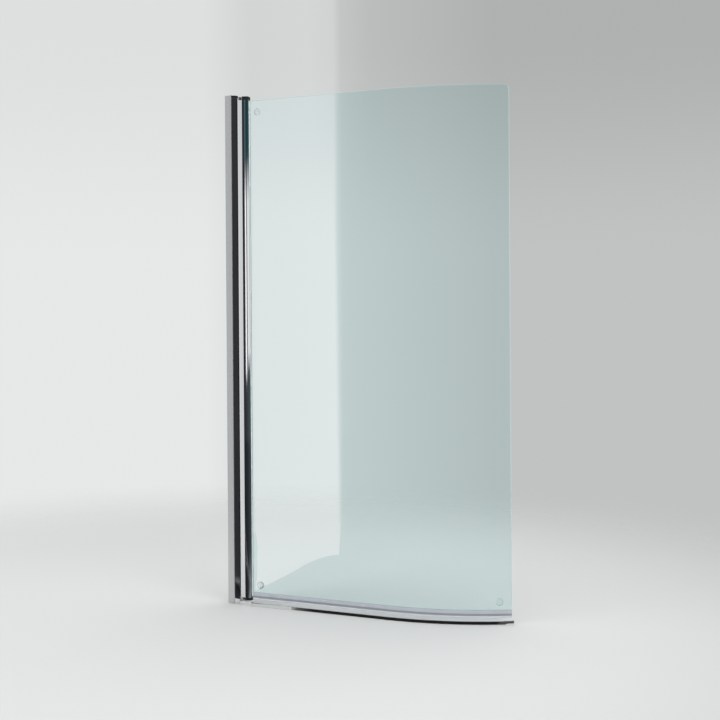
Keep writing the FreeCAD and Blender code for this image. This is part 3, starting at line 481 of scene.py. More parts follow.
# ---- Screws and their cover caps -----------------------------------------------------------------
# Pan-head screws of stainless steel: two through the back of the post into each pivot block, and three
# through the bath side of the channel into the post. A chromed plastic cap snaps over each of these three.

HEAD_RADIUS = 3.6
HEAD_HEIGHT = 2.4
HEAD_ROUND = 1.2
POINT = 0.5
RECESS_RADIUS = 1.1
RECESS_DEPTH = 1.4
RECESS_CONE = 0.3
BLOCK_SCREW = 10.0
SIDE_SCREW = 7.5
CAP_RADIUS = 6.0
CAP_HEIGHT = 4.2
CAP_WALL = 1.2
CAP_FILLET = 0.3
CAP_BREAK = 0.2


def turned_piece(name, profile, seat, way, segments=40):
    """A closed round piece from its half section (radius, height), set on seat and pointing along way."""
    solid = bmesh.new()
    rings = []
    for radius, height, *_ in profile:
        if radius == 0:
            rings.append([solid.verts.new((0, 0, height * MM))])
            continue
        angles = [2 * math.pi * i / segments for i in range(segments)]
        rings.append([solid.verts.new((radius * MM * math.cos(a), radius * MM * math.sin(a), height * MM))
                      for a in angles])
    for low, high in zip(rings, rings[1:]):
        for i in range(segments):
            j = (i + 1) % segments
            corners = [low[i % len(low)], low[j % len(low)], high[j % len(high)], high[i % len(high)]]
            solid.faces.new(list(dict.fromkeys(corners)))
    bmesh.ops.recalc_face_normals(solid, faces=solid.faces)
    turn = Vector((0, 0, 1)).rotation_difference(Vector(way)).to_matrix().to_4x4()
    solid.transform(Matrix.Translation(Vector(seat) * MM) @ turn)
    return piece_of(name, solid)


# A screw or a cap, set at each height of a row.
set_up, take, give = piece_tree("set_up_the_rail", ROW_SIZES)
row = add_node(set_up, "GeometryNodeGroup", {label: take[label] for label in ROW_SIZES}, node_tree=heights)
copies = add_node(set_up, "GeometryNodeInstanceOnPoints", {"Points": row["Points"],
                                                           "Instance": take["Geometry"]})
give_piece(set_up, copies["Instances"], take, give)


def pan_screw(name, length, seat, way):
    """A pan-head screw whose head sits on seat; way points out of the head."""
    shank = [(0, -length), (SHANK_RADIUS - POINT, -length), (SHANK_RADIUS, -length + POINT),
             (SHANK_RADIUS, 0)]
    head = arc((HEAD_RADIUS - HEAD_ROUND, HEAD_HEIGHT - HEAD_ROUND), HEAD_ROUND, 0, 90, 6)
    floor = HEAD_HEIGHT - RECESS_DEPTH
    recess = [(RECESS_RADIUS, HEAD_HEIGHT), (RECESS_RADIUS, floor + RECESS_CONE), (0, floor)]
    return turned_piece(name, shank + [(HEAD_RADIUS, 0)] + head + recess, seat, way)


block_screws = pan_screw("block_screws", BLOCK_SCREW, (POST_BACK, 0, 0), (-1, 0, 0))
work(block_screws, set_up, **BLOCK_ROW, finish=stainless)
fitted(block_screws, stainless, "wall_post", "stainless_steel", "pivot_block_screws")
side_screws = pan_screw("side_screws", SIDE_SCREW, (FIXING_X, CHANNEL_HALF, 0), (0, 1, 0))
work(side_screws, set_up, **FIXING_ROW, finish=stainless)
fitted(side_screws, stainless, "wall_post", "stainless_steel", "post_fixing_screws")

chromed_plastic = moulded_finish("chromed_plastic", (0.80, 0.805, 0.815), (0.87, 0.875, 0.88), smooth=0.05,
                                 rough=0.09, grain=260.0, depth=0.00002, Metallic=1.0)
room = CAP_RADIUS - CAP_WALL
roof = CAP_HEIGHT - CAP_WALL
cap_profile = [(0, roof), (room - CAP_FILLET, roof), (room, roof - CAP_FILLET), (room, 0),
               (CAP_RADIUS - CAP_BREAK, 0), (CAP_RADIUS, CAP_BREAK)]
cap_profile += arc((room, roof), CAP_WALL, 0, 90, 8) + [(0, CAP_HEIGHT)]
cover_caps = turned_piece("snap_caps", cap_profile, (FIXING_X, CHANNEL_HALF, 0), (0, 1, 0), segments=64)
work(cover_caps, set_up, **FIXING_ROW, finish=chromed_plastic)
fitted(cover_caps, chromed_plastic, "wall_post", "chromed_plastic", "screw_cover_caps")

# ---- End covers of channel and post --------------------------------------------------------------
# A chromed plastic lid is plugged in the top of the channel, and a black one in the top of the post.
# Injection moulded, with a fine grain on the black one.

fitted(eased_copy("channel_top_cap", "channel_lid", 0.2), chromed_plastic, "wall_post", "chromed_plastic",
       "channel_top_cap")
black_plastic = moulded_finish("black_plastic", (0.014, 0.014, 0.015), (0.022, 0.022, 0.023), smooth=0.26,
                               rough=0.38, grain=3000.0, depth=0.00004)
fitted(eased_copy("post_top_cap", "post_lid", 0.25), black_plastic, "wall_post", "black_plastic",
       "post_top_cap")

# ---- Hinge profile -------------------------------------------------------------------------------
# The drawn aluminium bar that swings: a round nose with the pivot bore, a flat band, and a deeper part whose
# slot holds the glass. Polished and bright plated like the post.

HINGE_RADIUS = 7.2
BORE_RADIUS = 4.55
NECK_END = 52.9
BODY_HALF = 11.0
BODY_EDGE = 1.1
CROWN_RADIUS = 87.64
LIP_X = 72.5
LIP_HALF = 5.6
LIP_EDGE = 0.6
SLOT_FLOOR = 57.0
SLOT_HALF = 4.0
SLOT_ROUND = 0.3
HOLLOW_HALF = 5.6
NECK_HOLLOW = (49.25, 55.4)
SIDE_HOLLOW_END = 64.93
SIDE_HOLLOW_DEEP = 8.495
SIDE_HOLLOW_SHALLOW = 6.0
SIDE_HOLLOW_ROUND = 0.1
PROFILE_LOW = 19.5
PROFILE_TOP = 1427.5


def crown(side, steps=24):
    """The curved face of the deeper part, from the band to the lip."""
    a = Vector((NECK_END + BODY_EDGE, BODY_HALF))
    b = Vector((LIP_X - LIP_EDGE, LIP_HALF))
    chord = b - a
    sag = math.sqrt(CROWN_RADIUS ** 2 - (chord.length / 2) ** 2)
    middle = (a + b) / 2 + Vector((chord.y, -chord.x)).normalized() * sag
    start, end = (math.degrees(math.atan2(p.y - middle.y, p.x - middle.x)) for p in (a, b))
    return [(x, side * y, 0.0) for x, y, _ in arc(middle, CROWN_RADIUS, start, end, steps)]


outer_half = [(NECK_END, -HINGE_RADIUS, 0.2)]
outer_half += arc((NECK_END + BODY_EDGE, -BODY_HALF + BODY_EDGE), BODY_EDGE, 180, 270, 6)[:-1] + crown(-1)
outer_half += arc((LIP_X - LIP_EDGE, -LIP_HALF + LIP_EDGE), LIP_EDGE, 275, 360, 4)
outer_half += [(LIP_X, -SLOT_HALF, SLOT_ROUND), (SLOT_FLOOR, -SLOT_HALF, SLOT_ROUND)]
hinge_section = outer_half + [(x, -y, *r) for x, y, *r in reversed(outer_half)]
hinge_section += arc(axis, HINGE_RADIUS, 90, 270, 48)
bore = arc(axis, BORE_RADIUS, 0, 360, 40)[:-1]
neck_hollow = [(NECK_HOLLOW[0], -HOLLOW_HALF), (NECK_HOLLOW[1], -HOLLOW_HALF),
               (NECK_HOLLOW[1], HOLLOW_HALF), (NECK_HOLLOW[0], HOLLOW_HALF)]
side_hollow = [(SLOT_FLOOR, -HOLLOW_HALF), (SLOT_FLOOR, -SIDE_HOLLOW_DEEP),
               (SIDE_HOLLOW_END, -SIDE_HOLLOW_SHALLOW), (SIDE_HOLLOW_END, -HOLLOW_HALF)]
loops = [eased(hinge_section), eased(bore), eased(neck_hollow), eased(side_hollow, SIDE_HOLLOW_ROUND),
         eased([(x, -y) for x, y in side_hollow], SIDE_HOLLOW_ROUND)]
hinge = drawn("hinge_bar", loops, (PROFILE_LOW, PROFILE_TOP))
fitted(hinge, post_metal, "screen", "bright_aluminium", "hinge_profile")

# ---- End caps and bushes of the hinge profile ----------------------------------------------------
# A black moulded cap closes each end, its pegs pushed in the hollows. A white nylon bush with a flange is
# pressed in each end of the bore and turns on the pin.

for node, name in (("profile_top_cap", "hinge_top_cap"), ("profile_bottom_cap", "hinge_bottom_cap")):
    fitted(eased_copy(node, name, 0.25), black_plastic, "screen", "black_plastic", node)
white_nylon = moulded_finish("white_nylon", (0.74, 0.735, 0.71), (0.79, 0.785, 0.76), smooth=0.38, rough=0.5,
                             grain=1500.0, depth=0.00003, Subsurface_Weight=0.15, Subsurface_Scale=0.002)
dress(white_nylon, "top_pivot_bush", "bottom_pivot_bush")

# ---- Glass ---------------------------------------------------------------------------------------
# One sheet of 6 mm toughened glass, flat from the hinge and then bowed towards the bather. Its edges are
# ground and polished with a small arris, and its upper free corner is rounded.

GLASS_HALF = 3.0
GLASS_START = 58.55
GLASS_LOW = 24.0
GLASS_TOP = 1424.0
BOW_X = 484.5
BOW_RADIUS = 681.0
BOW_ANGLE = 28.0
BOW_STEPS = 112
ARRIS = 0.6
CORNER = 12.0
CORNER_STEPS = 16

# A piece is made as if the glass were flat, and this tree then bends it round the bow.
bow, take, give = piece_tree("round_the_bow", {"Bow Start": ("NodeSocketFloat", BOW_X * MM),
                                               "Bow Radius": ("NodeSocketFloat", BOW_RADIUS * MM)})
place = add_node(bow, "GeometryNodeInputPosition")["Position"]
spot = add_node(bow, "ShaderNodeSeparateXYZ", {"Vector": place})
past = maths(bow, "MAXIMUM", maths(bow, "SUBTRACT", spot["X"], take["Bow Start"]), 0.0)
turn = maths(bow, "DIVIDE", past, take["Bow Radius"])
reach = maths(bow, "SUBTRACT", take["Bow Radius"], spot["Y"])
straight = maths(bow, "MINIMUM", spot["X"], take["Bow Start"])
along = maths(bow, "MULTIPLY_ADD", reach, maths(bow, "SINE", turn), straight)
back = maths(bow, "MULTIPLY", reach, maths(bow, "COSINE", turn))
across = maths(bow, "SUBTRACT", take["Bow Radius"], back)
bent = add_node(bow, "ShaderNodeCombineXYZ", {"X": along, "Y": across, "Z": spot["Z"]})["Vector"]
moved = add_node(bow, "GeometryNodeSetPosition", {"Geometry": take["Geometry"], "Position": bent})
give_piece(bow, moved["Geometry"], take, give)

glass_end = BOW_X + BOW_RADIUS * math.radians(BOW_ANGLE)
corner_x = glass_end - CORNER
corner_z = GLASS_TOP - CORNER


def glass_outline(inset):
    """The sheet's lower and upper edge, point by point along the glass, drawn in by inset."""
    along = [GLASS_START + inset]
    along += [BOW_X + (corner_x - BOW_X) * i / BOW_STEPS for i in range(BOW_STEPS + 1)]
    upper = [(x, GLASS_TOP - inset) for x in along]
    for i in range(1, CORNER_STEPS + 1):
        turn = math.radians(90 * i / CORNER_STEPS)
        along.append(corner_x + (CORNER - inset) * math.sin(turn))
        upper.append((along[-1], corner_z + (CORNER - inset) * math.cos(turn)))
    return [(x, GLASS_LOW + inset) for x in along], upper


sheet = bmesh.new()
ground = sheet.faces.layers.float.new("ground")
layers = []
for y, inset in ((-GLASS_HALF, ARRIS), (-GLASS_HALF + ARRIS, 0),
                 (GLASS_HALF - ARRIS, 0), (GLASS_HALF, ARRIS)):
    layers.append([[sheet.verts.new(Vector((x, y, z)) * MM) for x, z in edge]
                   for edge in glass_outline(inset)])
for lower, upper in (layers[0], layers[3]):
    for i in range(len(lower) - 1):
        sheet.faces.new((lower[i], lower[i + 1], upper[i + 1], upper[i]))
for (low_a, up_a), (low_b, up_b) in zip(layers, layers[1:]):
    ring_a, ring_b = low_a + up_a[::-1], low_b + up_b[::-1]
    for i in range(len(ring_a)):
        j = (i + 1) % len(ring_a)
        sheet.faces.new((ring_a[i], ring_a[j], ring_b[j], ring_b[i]))[ground] = 1.0
bmesh.ops.recalc_face_normals(sheet, faces=sheet.faces)
pane = piece_of("glass_pane", sheet)

# Clear in its faces and matt on its ground edges, with the tint in its depth. The ground edges also glow a
# faint green, a painted glow that stands in for the light the edge gathers.
clear_glass, tree, shader = new_finish("clear_glass", Base_Color=(1, 1, 1, 1), Transmission_Weight=1.0,
                                       IOR=1.5, Emission_Strength=1.0)
edge = add_node(tree, "ShaderNodeAttribute", attribute_name="ground")["Fac"]
place = add_node(tree, "ShaderNodeTexCoord")["Object"]
marks = add_node(tree, "ShaderNodeGroup", {"Vector": place, "Drops": 45.0, "Smears": 3.0},
                 node_tree=handling)
drops = maths(tree, "MULTIPLY", marks["Drop Mask"], 0.015)
tree.links.new(maths(tree, "MULTIPLY_ADD", edge, 0.16, drops), shader.inputs["Roughness"])
# Painted glow: the ground edges give off a faint green light of their own.
blended(tree, edge, (0.0, 0.0, 0.0), (0.03, 0.10, 0.09), shader.inputs["Emission Color"])
waves = add_node(tree, "ShaderNodeTexNoise", {"Vector": place, "Scale": 5.0, "Detail": 0.0})
raised(tree, waves["Fac"], shader, strength=0.02, depth=0.001)
tint = add_node(tree, "ShaderNodeVolumeAbsorption", {"Color": (0.57, 0.93, 0.922, 1), "Density": 60.0})
tree.links.new(tint["Volume"], tree.nodes["Material Output"].inputs["Volume"])
work(pane, bow, finish=clear_glass)
fitted(pane, clear_glass, "screen", "clear_glass", "glass_panel")

# ---- Glazing strips ------------------------------------------------------------------------------
# Clear soft strips wedge the glass in the slot, one on each side, and show as a narrow lip beside it.
# A black rubber bed lies between the edge of the glass and the floor of the slot.

LIP_OUT = 2.0
LIP_RISE = 0.6
LIP_TOE = 0.2
FIT = 0.05


def soft_clear(name, through, dark, light, smooth, rough, stain, strength):
    """Clear soft plastic: how much light goes through it, two near tones and the stain of its depth."""
    finish = moulded_finish(name, dark, light, smooth, rough, grain=900.0, depth=0.00003, mottle=40.0,
                            relief=0.2, Transmission_Weight=through, IOR=1.53)
    tree = finish.node_tree
    haze = add_node(tree, "ShaderNodeVolumeAbsorption", {"Color": (*stain, 1), "Density": strength})
    tree.links.new(haze["Volume"], tree.nodes["Material Output"].inputs["Volume"])
    return finish, tree, tree.nodes["Principled BSDF"]


mint_vinyl = soft_clear("glazing_vinyl", 0.15, (0.82, 0.93, 0.92), (0.86, 0.96, 0.95), smooth=0.18,
                        rough=0.28, stain=(0.80, 0.95, 0.93), strength=20.0)[0]
near, far = GLASS_HALF + FIT, SLOT_HALF - FIT
lip_section = [(SLOT_FLOOR + FIT, near), (SLOT_FLOOR + FIT, far), (LIP_X + FIT, far, 0),
               (LIP_X + FIT, far + LIP_RISE, 0.2), (LIP_X + LIP_OUT, near + LIP_TOE, 0.1),
               (LIP_X + LIP_OUT, near, 0.05)]
for side, name, node in ((-1, "outer_strip", "outer_glazing_strip"),
                         (1, "inner_strip", "inner_glazing_wedge")):
    section = eased([(x, side * y, *r) for x, y, *r in lip_section], 0.15)
    fitted(drawn(name, [section], (GLASS_LOW, GLASS_TOP)), mint_vinyl, "screen", "clear_vinyl", node)
dress(black_rubber, "glass_edge_strip")

# ---- Bottom seal ---------------------------------------------------------------------------------
# A clear soft strip clipped on the lower edge of the glass: two legs that grip it, a hollow bulb that rides
# over the rim, and a fin that throws the water back into the bath.

SEAL_START = 74.8
SEAL_INNER = 3.05
SEAL_OUTER = 4.05
SEAL_TOP = 35.0
SEAL_LIP = 35.5
SEAL_UNDER = 22.6
BULB_HALF = 3.2
BULB_SHOULDER = 17.7
BULB_WALL = 0.9
BULB_ROOF = 22.3
FIN_TIP = 10.05
FIN_LOW = 16.1
FIN_THICK = 1.25
BOW_PITCH = 0.5


def stations(start, last_turn=BOW_ANGLE, first_turn=0.0):
    """Places along the glass: the flat from start, if there is one, then every half degree of the bow."""
    count = round((last_turn - first_turn) / BOW_PITCH)
    turns = [first_turn + (last_turn - first_turn) * i / count for i in range(count + 1)]
    on_bow = [BOW_X + BOW_RADIUS * math.radians(turn) for turn in turns]
    return on_bow if start is None else [start] + on_bow


def bowed(name, loops, start, finish):
    """A bar drawn along the glass from start to its free end, and bent with it."""
    return work(drawn(name, loops, stations(start), upright=False), bow, finish=finish)


def ramped(tree, value, stops, unit=1.0):
    """A colour by a value, from rising stops {value: colour} in this unit."""
    low, high = min(stops), max(stops)
    ramp = tree.nodes.new("ShaderNodeValToRGB")
    tree.links.new(ranged(tree, value, low * unit, high * unit), ramp.inputs["Fac"])
    for place in list(stops)[1:-1]:
        ramp.color_ramp.elements.new((place - low) / (high - low))
    for stop, colour in zip(ramp.color_ramp.elements, stops.values()):
        stop.color = (*colour, 1)
    return ramp.outputs["Color"]


seal_floor = GLASS_LOW - FIT
seal_section = [(-SEAL_INNER, seal_floor, 0.1), (-SEAL_INNER, SEAL_TOP, 0.1), (-SEAL_OUTER, SEAL_LIP, 0.1),
                (-SEAL_OUTER, SEAL_UNDER, 0.3), (-BULB_HALF, SEAL_UNDER, 0.2)]
seal_section += arc((0, BULB_SHOULDER), BULB_HALF, 180, 360, 16)
seal_section += [(BULB_HALF, SEAL_UNDER, 0.2), (SEAL_OUTER, SEAL_UNDER, 0.3), (FIN_TIP, FIN_LOW, 0.1),
                 (FIN_TIP, FIN_LOW + FIN_THICK, 0.1), (SEAL_OUTER, SEAL_UNDER + FIN_THICK, 0.3),
                 (SEAL_OUTER, SEAL_LIP, 0.1), (SEAL_INNER, SEAL_TOP, 0.1), (SEAL_INNER, seal_floor, 0.1)]
bulb_room = BULB_HALF - BULB_WALL
bulb_inside = [(-bulb_room, BULB_ROOF, 0.3), *arc((0, BULB_SHOULDER), bulb_room, 180, 360, 12),
               (bulb_room, BULB_ROOF, 0.3)]

# Painted shade by height: the legs are darkened most in a band round the edge of the glass and a little
# higher up, and the thin bulb under it is made lighter and given a faint painted glow.
SEAL_PAINTED_SHADES = {20.0: 1.08, 21.2: 0.62, 25.8: 0.56, 27.2: 0.92}
BULB_GLOW_TOP = 20.0
BULB_GLOW_FULL = 18.5
clear_vinyl, tree, shader = soft_clear("clear_vinyl", 0.42, (0.79, 0.83, 0.89), (0.83, 0.87, 0.93),
                                       smooth=0.12, rough=0.20, stain=(0.78, 0.82, 0.94), strength=20.0)
place = add_node(tree, "ShaderNodeTexCoord")["Object"]
height = add_node(tree, "ShaderNodeSeparateXYZ", {"Vector": place})["Z"]
plain = shader.inputs["Base Color"].links[0].from_socket
painted_shades = ramped(tree, height, {level: (shade,) * 3 for level, shade in SEAL_PAINTED_SHADES.items()}, MM)
painted_seal_tone = add_node(tree, "ShaderNodeMix", {"Factor": 1.0, "A": plain, "B": painted_shades}, data_type="RGBA",
                   blend_type="MULTIPLY")
tree.links.new(painted_seal_tone["Result"], shader.inputs["Base Color"])
# The painted glow of the bulb, which fades out above it.
light = ranged(tree, height, BULB_GLOW_TOP * MM, BULB_GLOW_FULL * MM)
blended(tree, light, (0.0, 0.0, 0.0), (0.05, 0.052, 0.052), shader.inputs["Emission Color"])
shader.inputs["Emission Strength"].default_value = 1.0
seal = bowed("bottom_seal_strip", [eased(seal_section), eased(bulb_inside)], SEAL_START, clear_vinyl)
fitted(seal, clear_vinyl, "screen", "clear_vinyl", "bottom_seal")

# ---- Buttons -------------------------------------------------------------------------------------
# Three clear dished buttons stuck on the bath side of the glass, which keep it off the wall when it is
# folded in: two near the hinge, low and high, and one low near the free edge.

BUTTON_X = 96.5
BUTTON_LOW = 56.0
BUTTON_RISE = 1336.0
BUTTON_FROM_END = 32.0
BUTTON_BED = 0.3
BUTTON_RADIUS = 10.0
BUTTON_HEIGHT = 5.0
BUTTON_ROUND = 2.5
BUTTON_BREAK = 0.3
DISH_RADIUS = 5.5
DISH_DEPTH = 2.0
SKIRT_START = 7.2
SKIRT_WIDTH = 2.0
SIDE_SHADE_MIDDLE = 0.7
SIDE_SHADE_REACH = 9.0
FAINT_PAINTED_SHADE = 0.12
NEAR_BUTTON = 0.2

# One button is put in its low place, one above it, and one on along the glass.
dotted, take, give = piece_tree("buttons_on_the_glass", {"Rise": ("NodeSocketFloat", 1.0),
                                                         "Along": ("NodeSocketFloat", 0.5)})
ends = []
for label, line in (("Rise", "Z"), ("Along", "X")):
    offset = add_node(dotted, "ShaderNodeCombineXYZ", {line: take[label]})["Vector"]
    ends.append(add_node(dotted, "GeometryNodeMeshLine", {"Count": 2, "Offset": offset})["Mesh"])
both = add_node(dotted, "GeometryNodeJoinGeometry", {"Geometry": ends})
places = add_node(dotted, "GeometryNodeMergeByDistance", {"Geometry": both["Geometry"]})
copies = add_node(dotted, "GeometryNodeInstanceOnPoints", {"Points": places["Geometry"],
                                                           "Instance": take["Geometry"]})
give_piece(dotted, copies["Instances"], take, give)

# Painted shade: the steep skirt is darkened in its base colour towards its edge, more on the side away from
# the wall, standing in for the dark room seen through it. An attribute holds it, full on the lower button
# only.
button_vinyl, tree, shader = soft_clear("button_vinyl", 1.0, (0.93, 0.96, 0.955), (0.97, 0.99, 0.985),
                                        smooth=0.03, rough=0.06, stain=(0.75, 0.86, 0.84), strength=60.0)
shader.inputs["IOR"].default_value = 1.2
skirt = add_node(tree, "ShaderNodeAttribute", attribute_name="skirt")["Fac"]
plain = shader.inputs["Base Color"].links[0].from_socket
painted_ring = add_node(tree, "ShaderNodeMix", {"Factor": skirt, "A": plain, "B": (0.20, 0.25, 0.25, 1)},
                  data_type="RGBA")
tree.links.new(painted_ring["Result"], shader.inputs["Base Color"])

dish = (DISH_RADIUS ** 2 + DISH_DEPTH ** 2) / (2 * DISH_DEPTH)
dish_turn = math.degrees(math.asin(DISH_RADIUS / dish))
dish_floor = BUTTON_HEIGHT - DISH_DEPTH
button_profile = [(0, 0), (BUTTON_RADIUS - BUTTON_BREAK, 0), (BUTTON_RADIUS, BUTTON_BREAK)]
button_profile += arc((BUTTON_RADIUS - BUTTON_ROUND, BUTTON_HEIGHT - BUTTON_ROUND), BUTTON_ROUND, 0, 90, 10)
button_profile += arc((0, dish_floor + dish), dish, -90 + dish_turn, -90, 10)[:-1] + [(0, dish_floor)]
buttons = turned_piece("clear_buttons", button_profile, (BUTTON_X, GLASS_HALF + BUTTON_BED, BUTTON_LOW),
                       (0, 1, 0), segments=72)
# The painted shade of the skirt: none inside it, full at its edge, and fading out on the side towards the
# wall.
for vert, mark in zip(buttons.data.vertices, buttons.data.attributes.new("skirt", "FLOAT", "POINT").data):
    aside = vert.co.x / MM - BUTTON_X
    outward = (math.hypot(aside, vert.co.z / MM - BUTTON_LOW) - SKIRT_START) / SKIRT_WIDTH
    side_shade = SIDE_SHADE_MIDDLE + aside / SIDE_SHADE_REACH
    mark.value = min(max(outward, 0.0), 1.0) * min(max(side_shade, 0.0), 1.0)
work(buttons, dotted, rise=BUTTON_RISE * MM, along=(glass_end - BUTTON_FROM_END - BUTTON_X) * MM,
     finish=button_vinyl)
work(buttons, bow, finish=button_vinyl)
# The other two buttons keep only a faint painted shade.
for vert, mark in zip(buttons.data.vertices, buttons.data.attributes["skirt"].data):
    if max(vert.co.x, vert.co.z) > NEAR_BUTTON:
        mark.value *= FAINT_PAINTED_SHADE
fitted(buttons, button_vinyl, "screen", "clear_vinyl", "bump_stops")

# ---- Strip on the rim ----------------------------------------------------------------------------
# A bright drawn strip, rolled to the line of the glass and stuck on the rim with foam tape, turns back the
# water that passes the seal. A grey block joins it to the post, and a chromed cap closes its free end.

STRIP_FRONT = -20.0
STRIP_BACK = -8.0
STRIP_HEEL = 3.4
STRIP_TOP = 10.5
STRIP_BEND = -17.2
STRIP_WALL = 1.2
STRIP_START = 78.0
HOLLOW_BACK = -9.97
HOLLOW_BEND = -17.57
TAPE = 1.0
TAPE_INSET = 1.0
TAPE_THICK = 0.97
SLEEVE_GROW = 0.9
SLEEVE_FIT = 0.1
SLEEVE_LENGTH = 25.0
SLEEVE_WALL = 1.5


def strip_outline(base, rounds, grow=0.0):
    """The strip's section above the height base, grown all round; rounds are the sizes of its corners."""
    front, back, top = STRIP_FRONT - grow, STRIP_BACK + grow, STRIP_TOP + grow
    places = ((front, base), (back, base), (back, STRIP_HEEL + grow), (STRIP_BEND, top), (front, top))
    return eased([(*place, size) for place, size in zip(places, rounds)])


strip_low, strip_high = TAPE + STRIP_WALL, STRIP_TOP - STRIP_WALL
strip_hollow = [(STRIP_FRONT + STRIP_WALL, strip_low), (HOLLOW_BACK, strip_low),
                (HOLLOW_BEND, strip_high), (STRIP_FRONT + STRIP_WALL, strip_high)]
strip_loops = [strip_outline(TAPE, (0.3, 0.3, 0.5, 1.0, 0.8)), eased(strip_hollow, 0.15)]
rim_strip = bowed("rim_bar", strip_loops, STRIP_START, post_metal)
fitted(rim_strip, post_metal, "wall_post", "bright_aluminium", "rim_strip")

foam_tape = moulded_finish("foam_tape", (0.70, 0.70, 0.69), (0.80, 0.80, 0.79), smooth=0.85, rough=0.95,
                           grain=1200.0, depth=0.0003)
tape_front, tape_back = STRIP_FRONT + TAPE_INSET, STRIP_BACK - TAPE_INSET
tape_section = [(tape_front, 0.0), (tape_back, 0.0), (tape_back, TAPE_THICK), (tape_front, TAPE_THICK)]
tape = bowed("foam_bed", [eased(tape_section, 0.1)], STRIP_START, foam_tape)
fitted(tape, foam_tape, "wall_post", "foam_tape", "rim_strip_tape")

grey_plastic = moulded_finish("grey_plastic", (0.50, 0.51, 0.52), (0.56, 0.57, 0.58), smooth=0.3, rough=0.42,
                              grain=2600.0, depth=0.00004)
fitted(eased_copy("rim_strip_end_block", "end_block", 0.3), grey_plastic, "wall_post", "grey_plastic",
       "rim_strip_end_block")

# The cap is a sleeve over the last of the strip, closed by a wall at its free end.
sleeve_rounds = (0.2, 0.2, 0.5, 1.4, 1.2)
front_radius = BOW_RADIUS - STRIP_FRONT
sleeve_start = BOW_ANGLE - math.degrees(SLEEVE_LENGTH / front_radius)
sleeve_end = BOW_ANGLE + math.degrees(SLEEVE_WALL / front_radius)
sleeve = drawn("free_end_cap", [strip_outline(0.0, sleeve_rounds, SLEEVE_GROW)],
               stations(None, sleeve_end, sleeve_start), upright=False)
cut_away(sleeve, drawn("waste", [strip_outline(-1.0, sleeve_rounds, SLEEVE_FIT)],
                       stations(None, BOW_ANGLE, sleeve_start - 1.0), upright=False))
work(sleeve, bow, finish=chromed_plastic)
fitted(sleeve, chromed_plastic, "wall_post", "chromed_plastic", "rim_strip_end_cap")

# ---- Floor, backdrop and light -------------------------------------------------------------------
# A pale floor that fades into a pale paper backdrop, brighter on the left, and three large soft lamps.
# Cards that only reflections show give the metal its dark and light bands and veil the left of the glass.

CENTRE_X = 0.06

bpy.context.scene.view_settings.view_transform = "Standard"


def thinned(tree, surface, solid):
    """Show a surface that is see-through where solid falls from 1 to 0."""
    clear = add_node(tree, "ShaderNodeBsdfTransparent")["BSDF"]
    mix = add_node(tree, "ShaderNodeMixShader", {0: solid, 1: clear, 2: surface})
    tree.links.new(mix["Shader"], tree.nodes["Material Output"].inputs["Surface"])


sheet = bmesh.new()
bmesh.ops.create_circle(sheet, cap_ends=True, radius=9.0, segments=96)
floor = piece_of("floor", sheet)
floor_paper, tree, shader = new_finish("floor_paper", Base_Color=(0.64, 0.645, 0.645, 1), Roughness=0.9,
                                       Specular_IOR_Level=0.0)
place = add_node(tree, "ShaderNodeTexCoord")["Object"]
reach = add_node(tree, "ShaderNodeVectorMath", {0: place}, operation="LENGTH")["Value"]
thinned(tree, shader.outputs["BSDF"], ranged(tree, reach, 2.4, 0.8, smooth=True))
floor.data.materials.append(floor_paper)

# The backdrop's tone by X, and darker upwards. X is made longer with height, so that its edge is upright.
BACKDROP_TONES = {-0.51: 0.81, -0.475: 0.72, -0.41: 0.74, -0.404: 0.65, -0.28: 0.545}
world = bpy.data.worlds.new("paper_backdrop")
bpy.context.scene.world = world
world.use_nodes = True
tree = world.node_tree
way = add_node(tree, "ShaderNodeTexCoord")["Generated"]
spot = add_node(tree, "ShaderNodeSeparateXYZ", {"Vector": way})
squared = maths(tree, "MULTIPLY", spot["Z"], spot["Z"])
aside = maths(tree, "MULTIPLY", spot["X"], maths(tree, "MULTIPLY_ADD", squared, 0.5, 1.0))
paper = ramped(tree, aside, {x: (0.98 * tone, tone, tone) for x, tone in BACKDROP_TONES.items()})
least = ranged(tree, aside, -0.43, -0.38, to=(0.92, 0.81))
rise = ranged(tree, spot["Z"], 0.04, 0.24, to=(1.0, least), smooth=True)
paper = add_node(tree, "ShaderNodeVectorMath", {0: paper, "Scale": rise}, operation="SCALE")["Vector"]
rays = add_node(tree, "ShaderNodeLightPath")
seen = maths(tree, "MAXIMUM", rays["Is Camera Ray"], rays["Is Glossy Ray"])
seen = maths(tree, "MAXIMUM", seen, rays["Is Transmission Ray"])
level = add_node(tree, "ShaderNodeMix", {"Factor": seen, "A": (0.62, 0.62, 0.62, 1), "B": paper},
                 data_type="RGBA")
tree.links.new(level["Result"], tree.nodes["Background"].inputs["Color"])


def around(azimuth, distance, z):
    """A place round the hinge. Azimuth 0 is straight in front, outside the bath."""
    turn = math.radians(azimuth)
    return CENTRE_X + math.sin(turn) * distance, -math.cos(turn) * distance, z


def card(name, rows, paint, shows_in=()):
    """A card that only reflections show, from rows of places (x, y, z, how solid it is there)."""
    sheet = bmesh.new()
    solid = sheet.verts.layers.float.new("solid")
    lines = [[sheet.verts.new(place[:3]) for place in row] for row in rows]
    for line, row in zip(lines, rows):
        for vert, place in zip(line, row):
            vert[solid] = place[3]
    for low, high in zip(lines, lines[1:]):
        for i in range(len(low) - 1):
            sheet.faces.new((low[i], low[i + 1], high[i + 1], high[i]))
    piece = piece_of(name, sheet)
    piece.data.materials.append(paint)
    for ray in ("camera", "diffuse", "transmission", "volume_scatter", "shadow"):
        setattr(piece, "visible_" + ray, False)
    if shows_in:
        lit = bpy.data.collections.new(name)
        for other in shows_in:
            lit.objects.link(other)
        piece.light_linking.receiver_collection = lit


